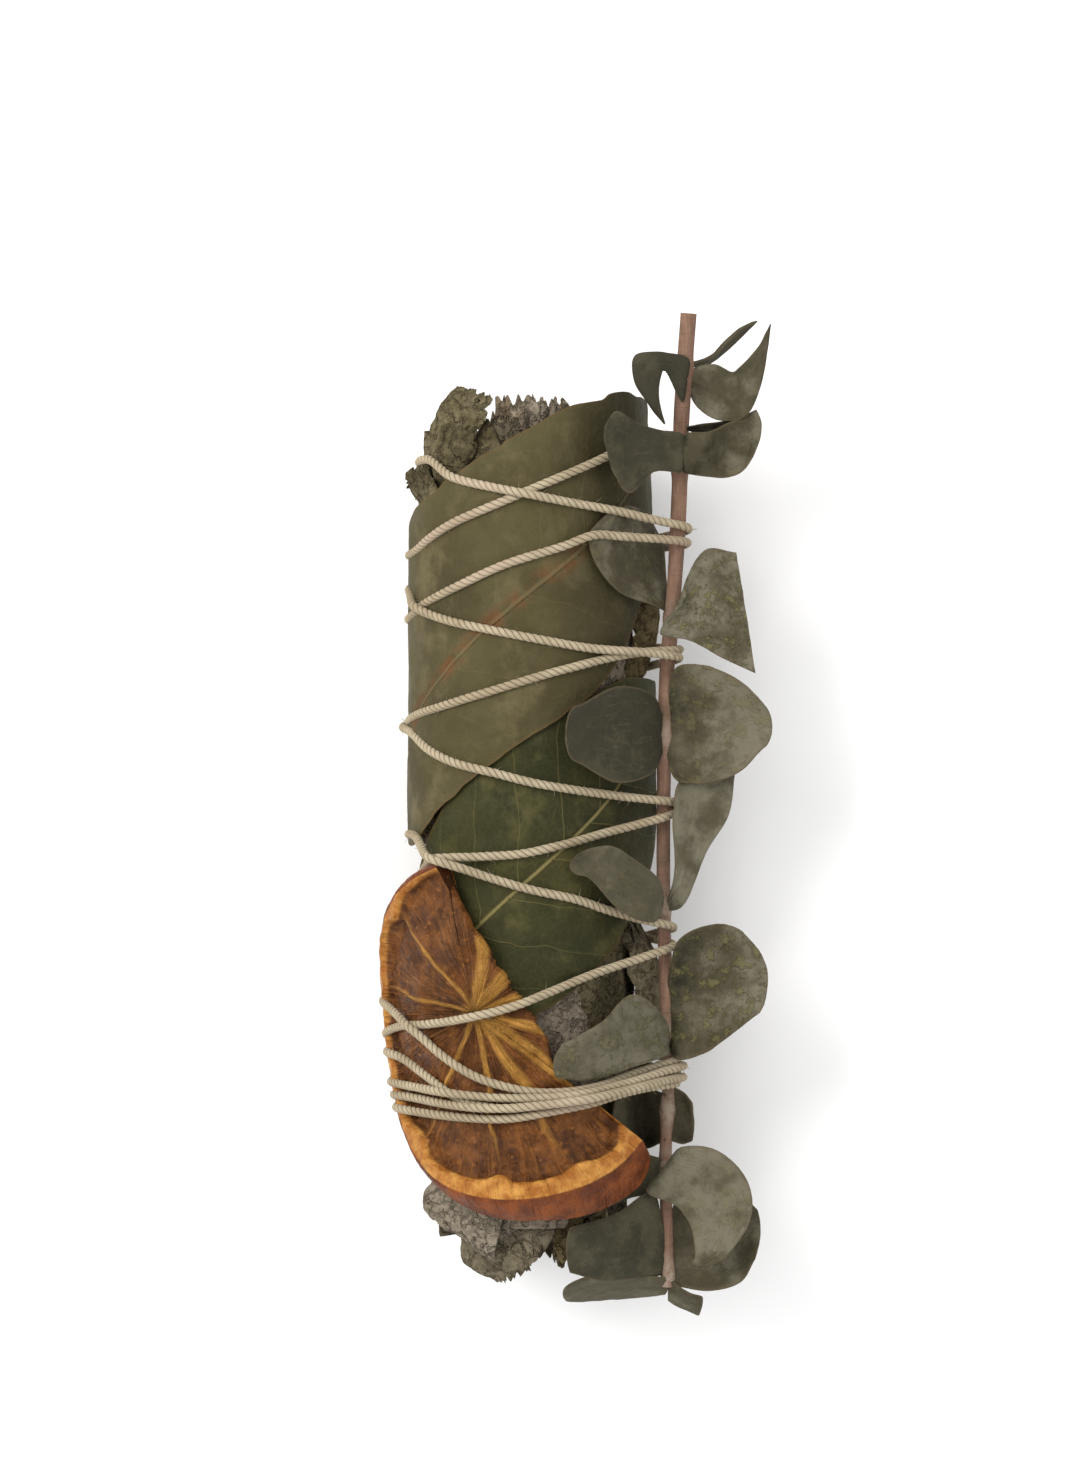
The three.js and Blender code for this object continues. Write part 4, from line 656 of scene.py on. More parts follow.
def bay_paint(name, dark, middle, light, rib, rib_shown, stain, stain_shown, shade):
    paint = Paint(name)
    where = paint.point("leaf_mm")
    split = paint.tree.nodes.new("ShaderNodeSeparateXYZ")
    paint.put(split.inputs[0], where)
    away = paint.math("ABSOLUTE", split.outputs[1])
    side = paint.math("MULTIPLY", paint.math("SIGN", split.outputs[1]), 0.0035)
    wander = paint.math("MULTIPLY", paint.noise(9, 2), 0.004)
    run = paint.math("SUBTRACT", split.outputs[0], paint.math("MULTIPLY", away, 0.85))
    run = paint.math("ADD", paint.math("ADD", run, side), wander)
    along = paint.math("MULTIPLY", paint.math("PINGPONG", run, 0.0048), 1000.0)
    fade = paint.step(away, 0.0, 0.018, 1.0, 0.45)
    side_veins = paint.math("MULTIPLY", paint.step(along, 0.06, 0.26, 1, 0), fade)
    midrib = paint.step(away, 0.00015, 0.0005, 1, 0)
    net = paint.step(paint.cells(1.5, "DISTANCE_TO_EDGE"), 0.0, 0.1, 1, 0)
    colour = paint.mix(paint.step(paint.noise(22, 4, 0.6), 0.35, 0.65), dark, middle)
    colour = paint.mix(paint.step(paint.noise(7, 5, 0.62), 0.48, 0.72), colour, light)
    dots = paint.step(paint.noise(2.2, 4), 0.55, 0.75)
    colour = paint.mix(paint.math("MULTIPLY", dots, 0.35), colour, dark)
    beside_rib = paint.step(away, 0.0002, 0.0022, 1, 0)
    rust = paint.math("MULTIPLY", beside_rib, paint.step(paint.noise(5, 4), 0.42, 0.6))
    colour = paint.mix(paint.math("MULTIPLY", rust, stain_shown), colour, stain)
    # Painted shade: each bay leaf is darkened towards +X, its right side, where it bends down away from the
    # lamp; shade sets how strongly
    aside = paint.tree.nodes.new("ShaderNodeSeparateXYZ")
    paint.put(aside.inputs[0], paint.place)
    painted_shade_right = paint.step(aside.outputs[0], 0.001, 0.015, 0.0, shade)
    colour = paint.mix(painted_shade_right, colour, linear((34, 30, 16)))
    colour = paint.mix(paint.math("MULTIPLY", side_veins, rib_shown * 0.35), colour, rib)
    colour = paint.mix(paint.math("MULTIPLY", midrib, rib_shown), colour, rib)
    colour = paint.mix(paint.math("MULTIPLY", net, 0.05), colour, rib)
    specks = paint.step(paint.noise(1.3, 2), 0.74, 0.78)
    colour = paint.mix(paint.math("MULTIPLY", specks, 0.5), colour, linear((52, 40, 26)))
    colour = paint.mix(paint.step(paint.value("edge"), 0.97, 1.0, 0, 0.5), colour, linear((92, 70, 42)))
    bumps = [(side_veins, 0.14 * rib_shown), (midrib, 0.3), (net, 0.03), (paint.noise(6, 4), 0.5)]
    roughness = paint.step(paint.noise(8, 3), 0.3, 0.7, 0.6, 0.78)
    return paint.finish(colour, roughness, bumps, specular=0.12)


upper_paint = bay_paint(
    "bay_leaf",
    linear((63, 57, 35)),
    linear((76, 70, 44)),
    linear((90, 82, 56)),
    linear((118, 104, 72)),
    0.3,
    linear((100, 62, 34)),
    0.7,
    0.55,
)
lower_paint = bay_paint(
    "bay_leaf_dark",
    linear((40, 41, 21)),
    linear((56, 55, 28)),
    linear((74, 70, 40)),
    linear((122, 112, 70)),
    0.85,
    linear((60, 50, 26)),
    0.3,
    0.2,
)
bay_leaf("bay_leaf_upper", UPPER_BAY, upper_paint, 1.6)
bay_leaf("bay_leaf_lower", LOWER_BAY, lower_paint, 0.4)

# Dried orange slice
# About two thirds of a slice laid round the lower left, torn along its right side. It has dark dried pulp in
# wedges, golden membranes that meet at the hub, a pale rim of pith and thick peel.

SLICE_CENTRE = (-4.0, -32.0)
SLICE_HUB = (-8.2, -29.2)
SLICE_RADIUS = 29.3
SLICE_LAY_RADIUS = 21.5
SLICE_H = 4.05
PEEL_THICK = 4.6
PULP_THICK = 2.5
PITH_WIDTH = (2.3, 4.1)
PEEL_FRINGE = 0.9
RIM_FROM, RIM_TO = 102.0, 320.5
RIM_STEPS, TORN_STEPS = 330, 130
PEEL_STEPS, UNDER_STEPS = 8, 16
FOOT_HEIGHT = 0.8

# The torn edge as [degrees at the hub, reach], from the rim at the lower right round to the rim at the top
TORN_EDGE = [
    [-39.5, 15.6],
    [-33, 14],
    [-25, 12.2],
    [-17, 11.1],
    [-11, 9.2],
    [-4.6, 8.7],
    [6, 7.2],
    [17.7, 7.2],
    [33, 6.6],
    [49.6, 7.1],
    [62, 8.2],
    [72, 9],
    [79, 10.8],
    [84.7, 12],
    [93, 14.2],
    [98, 17.2],
    [102, 20.6],
]
# Membranes as [degrees at the hub, half width, height, share of gold]
MEMBRANES = [
    [20, 0.9, 1.2, 1.0],
    [52, 1.2, 1.2, 1.0],
    [82, 1.1, 1.2, 1.0],
    [133, 0.5, 0.6, 0.8],
    [171, 0.45, 0.6, 0.8],
    [206, 0.35, 0.4, 0.4],
    [241, 0.5, 0.7, 0.9],
    [275, 0.6, 0.8, 0.9],
    [300, 0.9, 1.1, 1.0],
    [321, 1.3, 1.4, 1.0],
    [342, 0.9, 1.2, 1.0],
]


def slice_reach(degrees):
    """How far the slice reaches from its hub: out to its rim, or to its torn edge."""
    degrees = np.mod(degrees, 360)
    angle = np.radians(degrees)
    off_x, off_y = SLICE_HUB[0] - SLICE_CENTRE[0], SLICE_HUB[1] - SLICE_CENTRE[1]
    along = off_x * np.cos(angle) + off_y * np.sin(angle)
    pressed = 2.2 * np.exp(-(((degrees - 224) / 22) ** 2))
    swell = 0.8 * np.exp(-(((degrees - 316) / 17) ** 2))
    rim = -along + np.sqrt(along**2 + SLICE_RADIUS**2 - off_x**2 - off_y**2) - pressed + swell
    torn_degrees, torn_reach = np.array(TORN_EDGE, float).T
    torn = np.interp(np.mod(degrees + 60, 360), torn_degrees + 60, torn_reach)
    notches = np.stack([degrees, 0 * degrees, 0 * degrees], -1)
    torn = torn + 0.8 * lumps(notches, 9, 2) + 0.45 * lumps(notches, 3, 4)
    return np.where((degrees > RIM_FROM) & (degrees < RIM_TO), rim, torn)


def slice_layers(x, y):
    """The height of the upper face, and how much it is gold, pith and peel, at points of the slice."""
    px, py = x - SLICE_HUB[0], y - SLICE_HUB[1]
    out = np.hypot(px, py)
    angle = np.arctan2(py, px)
    degrees = np.degrees(angle)
    from_rim = slice_reach(degrees) - out
    on_rim = (np.mod(degrees, 360) > RIM_FROM) & (np.mod(degrees, 360) < RIM_TO)
    inside = SLICE_RADIUS - np.hypot(x - SLICE_CENTRE[0], y - SLICE_CENTRE[1])
    from_rim = np.where(on_rim, from_rim, inside)
    flat = np.stack([x, y, 0 * x], -1)
    ridge, gold, notch = (np.zeros(x.shape) for _ in range(3))
    for at, half, height, share in MEMBRANES:
        turn = angle - math.radians(at) + 0.05 * lumps(flat, 5, at)
        aside = out * np.sin(turn)
        near = np.where(np.cos(turn) > 0, np.exp(-((aside / half) ** 2)), 0)
        fold = near * (0.75 + 0.5 * lumps(flat, 2.5, at + 1)) * np.clip(1.25 - out / 34, 0.3, 1)
        ridge = np.maximum(ridge, height * fold)
        gold = np.maximum(gold, share * near * np.clip(1.5 - out / 22, 0.25, 1))
        notch = np.maximum(notch, np.where(np.cos(turn) > 0, np.exp(-((aside / 2.4) ** 2)), 0))
    hub = np.exp(-((out / 2.6) ** 2))
    widening = ease(np.mod(degrees, 360), 205, 275)
    width = PITH_WIDTH[0] + (PITH_WIDTH[1] - PITH_WIDTH[0]) * widening
    width = width + 1.6 * notch - 0.6 + 0.5 * lumps(flat, 3, 7) + 0.3 * lumps(flat, 1.2, 8)
    pith = 1 - ease(from_rim, width - 0.5, width + 0.3)
    peel = 1 - ease(from_rim, PEEL_FRINGE - 0.25, PEEL_FRINGE + 0.25)
    wedge = 0.5 * lumps(flat, 4, 3) + 0.22 * lumps(flat, 1.3, 4)
    swell = 0.3 * lumps(np.stack([degrees * 0.12, out * 0.35, 0 * x], -1), 1.0, 5)
    pulp_height = PULP_THICK + wedge + swell + ridge + 0.9 * hub
    rim_height = PEEL_THICK + 0.22 * lumps(flat, 3.5, 2) + 0.12 * lumps(flat, 1.1, 6)
    height = pulp_height + (rim_height - pulp_height) * pith
    return height, np.maximum(gold, hub) * (1 - pith), pith * (1 - peel), peel


def place_slice(x, y, height):
    return around(x / SLICE_LAY_RADIUS, y, SLICE_H + height + 1.5 * ease(x, 14, 24))


orange = Pile()
rim_angles = np.linspace(RIM_FROM + 0.3, RIM_TO - 0.3, RIM_STEPS)
torn_angles = np.linspace(RIM_TO + 0.3, RIM_FROM + 359.7, TORN_STEPS)
slice_angles = np.concatenate([rim_angles, torn_angles])
turns = len(slice_angles)
reach = slice_reach(slice_angles)
is_rim = np.arange(turns) < len(rim_angles)
bevel = 3.2 * np.clip((slice_angles - 215) / 70, 0, 1) + 3.8 * np.clip((slice_angles - 285) / 30, 0, 1)
bevel = np.where(is_rim, bevel, 0)
cos, sin = np.cos(np.radians(slice_angles)), np.sin(np.radians(slice_angles))
rows, looks, rays = [], [], []
for share in np.linspace(0.015, 1, 76):
    x, y = SLICE_HUB[0] + share * reach * cos, SLICE_HUB[1] + share * reach * sin
    height, gold, pith, peel = slice_layers(x, y)
    height = height - 0.45 * max(0, (share - 0.97) / 0.03) ** 2
    rows.append(place_slice(x, y, height))
    looks.append((gold, pith, peel))
    rays.append(share * reach)
edge_height = height
for k in range(1, PEEL_STEPS):
    share = k / PEEL_STEPS
    wide = reach + bevel * share + 0.35 * math.sin(math.pi * share)
    x, y = SLICE_HUB[0] + wide * cos, SLICE_HUB[1] + wide * sin
    rows.append(place_slice(x, y, edge_height + (FOOT_HEIGHT - edge_height) * share))
    looks.append((gold * (1 - share), pith * (1 - share), np.where(is_rim, 1, peel)))
    rays.append(wide)
for share in np.linspace(1, 0.03, UNDER_STEPS):
    wide = (reach + bevel) * share
    x, y = SLICE_HUB[0] + wide * cos, SLICE_HUB[1] + wide * sin
    rows.append(place_slice(x, y, FOOT_HEIGHT * max(0, (share - 0.9) / 0.1)))
    looks.append((0 * x, is_rim * float(share > 0.86), is_rim * float(share > 0.96)))
    rays.append(wide)
orange_faces = []
for r in range(len(rows) - 1):
    for k in range(turns):
        a, b = r * turns + k, r * turns + (k + 1) % turns
        orange_faces.append([a, a + turns, b + turns, b])
orange_faces.append(list(range(turns)))
orange_faces.append([(len(rows) - 1) * turns + k for k in reversed(range(turns))])
gold, pith, peel = (np.concatenate(shares) for shares in zip(*looks))
# Streaks run out from the hub: the first number turns with the angle, the second goes slowly outwards
ray = np.concatenate([np.stack([slice_angles * 0.4, out * 0.1, 0 * out], -1) for out in rays])
orange.add(np.concatenate(rows), orange_faces, gold=gold, pith=pith, peel=peel, ray=ray)

citrus = Paint("dried_orange")
vesicles = citrus.cells(1.1)
clouds = citrus.step(citrus.noise(3.2, 4), 0.38, 0.66)
pulp = citrus.mix(clouds, linear((64, 36, 17)), linear((106, 64, 29)))
pulp = citrus.mix(citrus.step(citrus.noise(1.2, 3), 0.55, 0.75), pulp, linear((128, 80, 36)))
pulp = citrus.mix(citrus.step(citrus.noise(6, 2), 0.6, 0.72, 0, 0.6), pulp, linear((48, 26, 14)))
streaks = citrus.step(citrus.noise(1.0, 4, 0.6, where=citrus.point("ray")), 0.4, 0.65)
pulp = citrus.mix(citrus.math("MULTIPLY", streaks, 0.4), pulp, linear((134, 84, 36)))
golden = citrus.mix(citrus.noise(1.6, 4), linear((130, 84, 32)), linear((180, 134, 62)))
browned = citrus.step(citrus.noise(2.4, 5), 0.35, 0.7)
pale = citrus.mix(browned, linear((150, 92, 36)), linear((190, 136, 66)))
baked = citrus.step(citrus.noise(4, 4), 0.35, 0.7)
rind = citrus.mix(baked, linear((86, 42, 18)), linear((124, 66, 30)))
rind = citrus.mix(citrus.step(citrus.cells(1.0), 0.0, 0.35, 0.45, 0), rind, linear((84, 38, 18)))
colour = citrus.mix(citrus.step(citrus.value("gold"), 0.2, 0.75), pulp, golden)
colour = citrus.mix(citrus.step(citrus.value("pith"), 0.3, 0.7), colour, pale)
colour = citrus.mix(citrus.step(citrus.value("peel"), 0.3, 0.7), colour, rind)
bumps = [(vesicles, 0.2), (streaks, 0.3), (citrus.noise(0.8, 3), 0.25)]
roughness = citrus.step(citrus.noise(2, 3), 0.3, 0.7, 0.38, 0.62)
citrus_finish = citrus.finish(colour, roughness, bumps, specular=0.15)
orange_slice = orange.make("orange_slice_dried", citrus_finish, sharp=math.radians(60))
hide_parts("orange_slice")
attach(orange_slice, "root")

# Eucalyptus sprig
# One woody stem along the right side, with pairs of round, thick leaves that clasp it. The leaves are dried
# into cups and hooks, grey green with a waxy bloom that is worn and crusted in places.

STEM = [
    [26.5, 88.3, 32],
    [25.9, 80, 31.4],
    [25.3, 70, 30.8],
    [24.9, 56, 29.8],
    [24, 40, 28.8],
    [22.8, 26, 28],
    [22.4, 8, 27.4],
    [22.4, -13, 27],
    [22.8, -26, 26.6],
    [23.2, -42, 26.2],
    [22.7, -56, 25.8],
    [23, -68, 25.4],
    [23.2, -77, 25],
]
STEM_TOP_RADIUS, STEM_BOTTOM_RADIUS = 1.4, 1.0
STEM_STEPS, STEM_SIDES = 260, 16
STEM_NODES_Y = [78.7, 62.6, 37, 17, -12, -34.6, -46.8, -56.6, -74.8]
EUCALYPTUS_THICK = 0.6

# The leaves in pairs down the stem, each as stations from the stem outwards
EUCALYPTUS = [
    [
      [[25.7, 77.4, 31]],
      [[26.5, 80.4, 33], [26, 77.2, 33.4], [25.4, 73.2, 32.8]],
      [[25, 81.2, 33], [24.3, 79.4, 34], [23.6, 76.6, 33.2]],
      [[20.6, 81.5, 34], [20.7, 79.6, 35.4], [22.3, 78.6, 34.6]],
      [[17.4, 80.9, 34], [18.7, 78.2, 35.8], [21.6, 76.8, 35.2]],
      [[17.2, 77, 34.6], [19, 75.4, 36], [21.4, 74, 35.8]],
      [[19.4, 73.2, 35.4], [20.6, 72.6, 36.4], [21.6, 72, 36.4]],
      [[22.4, 69.4, 36]],
    ],
    [
      [[25.9, 77.6, 31.2]],
      [[27.7, 79.2, 31], [29, 76.2, 30.4], [27.6, 73, 30]],
      [[31, 79.7, 32], [31.5, 75, 31], [30.8, 70.5, 31.5]],
      [[33.8, 78.4, 32], [33.8, 74, 33], [34.2, 70.1, 33.5]],
      [[35.2, 79.2, 34.4], [36.4, 75.4, 35.6], [36.4, 71, 35.8]],
      [[38.4, 82.8, 36.6], [38.7, 79.6, 37.2], [38.6, 76, 37]],
      [[40.1, 86, 38.5]],
    ],
    [
      [[26, 79.2, 30.6]],
      [[29.6, 79.9, 26.5], [30, 80.9, 28.5], [30.6, 81.2, 30.4]],
      [[33.8, 83, 25.5], [34.2, 84.4, 28], [34.8, 85.2, 31]],
      [[38.2, 87, 30]],
    ],
    [
      [[25.2, 62.6, 30.6]],
      [[25.3, 64.3, 34.4], [25.2, 63, 34.4], [25, 61.6, 33.4]],
      [[25.4, 67.6, 35.9], [25.2, 64.8, 35.9], [25, 61.2, 34.4]],
      [[21.4, 68.2, 37.8], [21, 65, 38], [20.8, 61.4, 36.4]],
      [[17.4, 69.4, 39.8], [16.8, 64.6, 39.9], [16.2, 57.6, 38.6]],
      [[14.8, 71, 41.9], [13.8, 66, 42.4], [14.2, 60, 41.2]],
      [[12.2, 67.4, 43.4]],
    ],
    [
      [[25.2, 62.5, 30.6]],
      [[25.7, 64.3, 34.3], [25.7, 63, 34.3], [25.7, 61.6, 33.3]],
      [[25.9, 67.6, 35.8], [25.9, 64.8, 35.8], [25.9, 61.2, 34.2]],
      [[29.8, 68.2, 34.8], [29.4, 64.6, 34], [29.6, 60.6, 33]],
      [[32.8, 69.6, 33.6], [32.8, 65, 31], [33, 60.6, 32]],
      [[36, 71, 34.4], [36.6, 66, 32.2], [35.8, 61.6, 32.8]],
      [[37.8, 71.9, 35.5], [38.8, 68.6, 34.8], [38, 65, 34.6]],
    ],
    [
      [[25.2, 68.8, 30.7]],
      [[27.6, 69.4, 32.2], [27.8, 68.8, 31.8], [28, 68.2, 31.4]],
      [[32, 70, 31.8], [32, 68.4, 31.2], [32, 66.8, 31]],
      [[36, 70.8, 32.4], [36, 69, 31.8], [35.6, 67, 31.6]],
    ],
    [
      [[22.6, 38.6, 29.2], [23.2, 37.2, 28.9], [23.4, 36, 28.6]],
      [over(14.6, 41.2, 4.6), over(18, 43, 4.7), [22.8, 43.6, 26.6]],
      [over(10.4, 46.6, 4.8), over(14.8, 49.2, 4.5), [22.2, 49.4, 26.8]],
      [over(9.6, 50.6, 4.7), over(14.4, 52.6, 4.5), [20.4, 53.2, 27.2]],
      [over(15.4, 55.2, 4.6)],
    ],
    [
      [[23.8, 36.6, 28.8]],
      [[25.8, 40, 31.8], [23.2, 36.8, 32], [21.8, 34, 31.6]],
      [[26.6, 44.2, 31.6], [27.6, 38.4, 30.4], [26.6, 33, 31]],
      [[29.4, 48.2, 33], [31.4, 38.8, 30.6], [31.8, 30.2, 31.4]],
      [[34.4, 47.7, 34.5], [36.2, 37.4, 32.5], [37.8, 27.4, 32.5]],
    ],
    [
      [[22.2, 19.8, 28.6], [22.2, 16.8, 28.8], [22.2, 14, 28.6]],
      [[20.6, 23.6, 31.4], [20.2, 17, 31.8], [20.4, 10.6, 31.4]],
      [[14.4, 25.2, 38.2], [14.4, 17.2, 37.2], [14, 9, 38]],
      [[8.4, 22.2, 42.6], [8.6, 17.2, 41.8], [8.2, 12.2, 42.4]],
      [[5.8, 17.4, 43.6]],
    ],
    [
      [[23, 22, 28.6], [22.8, 18, 28], [22.8, 14, 28.4]],
      [[24.4, 28.4, 30.6], [24.6, 18.6, 28.4], [24.4, 9.4, 30.4]],
      [[29, 28.8, 31.4], [28.6, 18.6, 28], [28.8, 8.8, 31]],
      [[35, 26, 33], [34.2, 18.8, 29.6], [34.4, 10.4, 32.8]],
      [[39.2, 22, 34], [40.4, 18.8, 33], [39.4, 15.2, 33.8]],
    ],
    [
      [[22.4, -11.6, 27]],
      [[21.4, -7.4, 32.8], [20.7, -11.4, 34.4], [20.4, -14.6, 34.6]],
      [[17.6, -4.2, 36.6], [16.2, -8.4, 38], [15, -12.6, 38.8]],
      [[13.4, -1.6, 40], [11.4, -4.2, 41], [9.4, -6.8, 42]],
      [[6.8, -3.7, 43.2]],
    ],
    [
      [[22.6, -12.6, 27]],
      [[24.2, -6, 31], [25, -8.4, 30], [25.4, -12.2, 29.2]],
      [[24, 4, 31.2], [27, 0.2, 29.4], [29.8, -2.6, 28.6]],
      [[25.4, 9.6, 29.4], [29.6, 6.2, 28.2], [33.4, 3.4, 28.2]],
      [[34.4, 10.2, 28.6]],
    ],
    [
      [[23, -25, 27.4], [22.9, -31, 27], [23.2, -36.6, 27.4]],
      [[24.9, -17.6, 31.9], [25.6, -27, 28], [24.8, -38, 30]],
      [[29.6, -15.2, 31.4], [29.2, -26, 27.8], [29.8, -36.6, 30.6]],
      [[34.6, -15.6, 32.4], [33.8, -24.6, 28.8], [34.4, -33, 32]],
      [[38, -19.2, 33.8], [39.6, -24.2, 33], [38.4, -29.8, 33.8]],
    ],
    [
      [[22.6, -36.6, 27]],
      [[22.8, -31.6, 31], [22.4, -34.8, 31.4], [23, -37.2, 31]],
      [[17.2, -26.6, 36.4], [17, -34.4, 36.6], [17.2, -38.8, 36.8]],
      [[11.6, -31, 41.4], [10.4, -36.8, 41.8], [9.6, -40.6, 41.4]],
      [[5, -34.6, 44.4], [3.6, -37.6, 45.2], [4.2, -40.2, 44.8]],
    ],
    [
      [[22.6, -44, 27.4], [22.4, -48, 27], [22.6, -52, 27.2]],
      [over(19.2, -43.4, 3.4), over(19, -48.4, 3), over(19.4, -54, 3.4)],
      [over(14, -44, 3.3), over(13.4, -48.6, 3), over(14.4, -51.8, 3.4)],
    ],
    [
      [[23.6, -42.6, 26.4], [23.4, -47, 26.2], [23.4, -52, 26.2]],
      [[26, -43.9, 26.6], [26, -47.4, 25.6], [25.6, -52.6, 26.2]],
      [[27.3, -45.4, 27.6], [27.6, -48.6, 26.8], [27.2, -52, 27]],
    ],
    [
      [[22.6, -56.6, 26.4]],
      [[25.4, -52.8, 30.2], [23, -56.8, 30.2], [19.4, -60.4, 30.4]],
      [[31.2, -53.2, 32.4], [27.8, -58.8, 30], [24.4, -62.8, 29.6]],
      [[36.2, -58, 33.4], [31.6, -63, 31], [26.8, -66, 30.8]],
      [[37, -64.4, 33.4], [32.4, -67.4, 31.4], [27.5, -69, 31.4]],
      [[33, -70.8, 32.2], [30.4, -71, 31.6], [27.6, -71.4, 31.6]],
      [[28.6, -72.6, 31.8]],
    ],
    [
      [[22, -55, 27], [21.8, -58, 26.6], [21.8, -61, 26.6]],
      [over(17, -53.8, 3.1), over(17, -58, 3), over(17.6, -61.4, 3)],
      [over(11.6, -57, 3.1), over(11, -60, 3), over(11.4, -63, 3.1)],
    ],
    [
      [[23.2, -67, 25.6], [23.4, -73, 25], [23.6, -76.6, 25.2]],
      [[25.2, -61, 25.8], [25.4, -69, 24.6], [25.2, -77, 25.6]],
      [[30, -60.2, 25.2], [30, -68.4, 24.4], [30, -77.6, 26.4]],
      [[35.6, -61.4, 25.8], [35.4, -68.6, 25], [35.2, -76, 27]],
      [[38.4, -63.6, 27], [38.9, -67.6, 26.6], [38, -72, 27.8]],
    ],
    [
      [[22.2, -66, 26.4], [22, -72, 26], [22, -75, 25.8]],
      [[20.4, -60.6, 28.4], [18.6, -68.6, 29.6], [18.4, -75.2, 28.2]],
      [[14.2, -63.8, 33], [13.4, -69.4, 34.4], [12.6, -75.2, 32.2]],
      [[6.6, -65.6, 39.4], [5.8, -69, 39], [6.4, -73.4, 36.6]],
    ],
    [
      [[22.6, -75.2, 26.4], [22.8, -76.8, 24.8], [22.7, -78.6, 22.8]],
      [[15, -74.6, 29.4], [15.4, -77, 24.6], [15.6, -79.8, 18]],
      [[9, -75, 31.4], [9, -77.4, 26.4], [8.8, -80, 19]],
      [[6, -76.2, 31.6], [5.2, -77.8, 28], [5.8, -79.4, 23]],
    ],
    [
      [[23.4, -75.6, 25.8], [23.4, -77.4, 24.4], [23.2, -79.6, 22.4]],
      [[26.2, -77.4, 26.6], [26, -79.6, 23.6], [25.6, -81.4, 20]],
      [[29, -78.4, 27], [29, -80.4, 24.4], [28.4, -82.6, 21]],
    ],
]
# How pale each leaf is at the stem and at its tip, and how crusted, from 0 to 1
LEAF_LOOKS = [
    (0.0, 0.0, 0.0),
    (0.75, 0.5, 0.1),
    (0.3, 0.3, 0.0),
    (0.2, 0.12, 0.1),
    (0.2, 0.65, 0.2),
    (0.0, 0.0, 0.0),
    (0.6, 0.65, 0.3),
    (0.9, 0.75, 1.0),
    (0.0, 0.08, 0.1),
    (0.4, 0.95, 0.5),
    (0.5, 0.5, 0.3),
    (0.8, 0.75, 0.1),
    (0.4, 0.8, 0.9),
    (0.8, 0.85, 0.8),
    (0.35, 0.3, 0.2),
    (0.4, 0.35, 0.1),
    (0.85, 0.7, 0.4),
    (0.4, 0.4, 0.2),
    (0.55, 0.65, 0.2),
    (0.2, 0.15, 0.1),
    (0.6, 0.6, 0.3),
    (0.6, 0.5, 0.3),
]
# The leaves, by their place in the list, that lie under the string, and those whose tips are round
HELD_LEAVES = (6, 14, 17)
ROUND_LEAVES = (3, 6, 8, 10, 16)


def round_tube(pile, points, radii, sides, lobes=None, **stored):
    """A tube along points. radii may be one for each point, and lobes(angle) varies them round the tube.
    A stored run is kept as the cosine and sine of the place round the tube, and the way along it."""
    along = np.gradient(points, axis=0)
    along /= np.linalg.norm(along, axis=1, keepdims=True)
    outward = points - [BUNDLE_X, 0, BUNDLE_Z]
    outward[:, 1] = 0
    outward -= along * (outward * along).sum(1, keepdims=True)
    outward /= np.linalg.norm(outward, axis=1, keepdims=True)
    sideways = np.cross(along, outward)
    angle = np.linspace(0, math.tau, sides + 1)[:-1]
    spread = np.broadcast_to(radii, len(points))[:, None] * np.ones(sides)
    if lobes is not None:
        spread = spread * lobes(angle)
    ring = points[:, None] + spread[..., None] * (
        outward[:, None] * np.cos(angle)[:, None] + sideways[:, None] * np.sin(angle)[:, None]
    )
    faces = []
    for i in range(len(points) - 1):
        a = i * sides
        for k in range(sides):
            after = (k + 1) % sides
            faces.append([a + k, a + after, a + sides + after, a + sides + k])
    last = (len(points) - 1) * sides
    faces += [list(range(sides))[::-1], [last + k for k in range(sides)]]
    stored = {key: np.repeat(value, sides) for key, value in stored.items()}
    if "run" in stored:
        turned = np.tile(angle, len(points))
        stored["run"] = np.stack([np.cos(turned), np.sin(turned), stored["run"]], -1)
    pile.add(ring.reshape(-1, 3), faces, **stored)
    return ring


stem_line = along_curve(STEM, np.linspace(0, 1, STEM_STEPS))
nearest = np.abs(stem_line[:, 1:2] - np.array(STEM_NODES_Y)).min(axis=1)
stem_radius = np.linspace(STEM_TOP_RADIUS, STEM_BOTTOM_RADIUS, STEM_STEPS)
stem_radius += 0.3 * np.exp(-((nearest / 1.6) ** 2))
stem_radius *= 1 + 0.05 * lumps(stem_line, 4, 3)


def sprig_leaf(pile, place):
    base, *others = EUCALYPTUS[place]
    foot_y = base[len(base) // 2][1]
    foot = stem_line[np.abs(stem_line[:, 1] - foot_y).argmin()].tolist()
    clasp = [foot] if len(base) == 1 else [base[0], foot, base[2]]
    pale_foot, pale_tip, crust = LEAF_LOOKS[place]

    def relief(t, u, points):
        rib = 0.18 * np.exp(-((u * 9) ** 2)) * (1 - t)
        waves = 0.35 * crinkle(points, 8, place) * ease(t, 0.1, 0.4)
        return waves + crust * 0.12 * crinkle(points, 1.6, 40) + rib

    def leaf_mm(t, u):
        return np.stack([17 * t, 9 * u + 40 * place, 0 * t], -1)

    def pale(t, u):
        return pale_foot + (pale_tip - pale_foot) * ease(t, 0.2, 0.85)

    body = loft([clasp, *(round_end(others) if place in ROUND_LEAVES else others)])
    looks = {"leaf_mm": leaf_mm, "pale": pale, "crust": crust, "wood": 0.0, "node": 0.0}
    leaf(pile, body, 44, 32, EUCALYPTUS_THICK, relief, **looks)


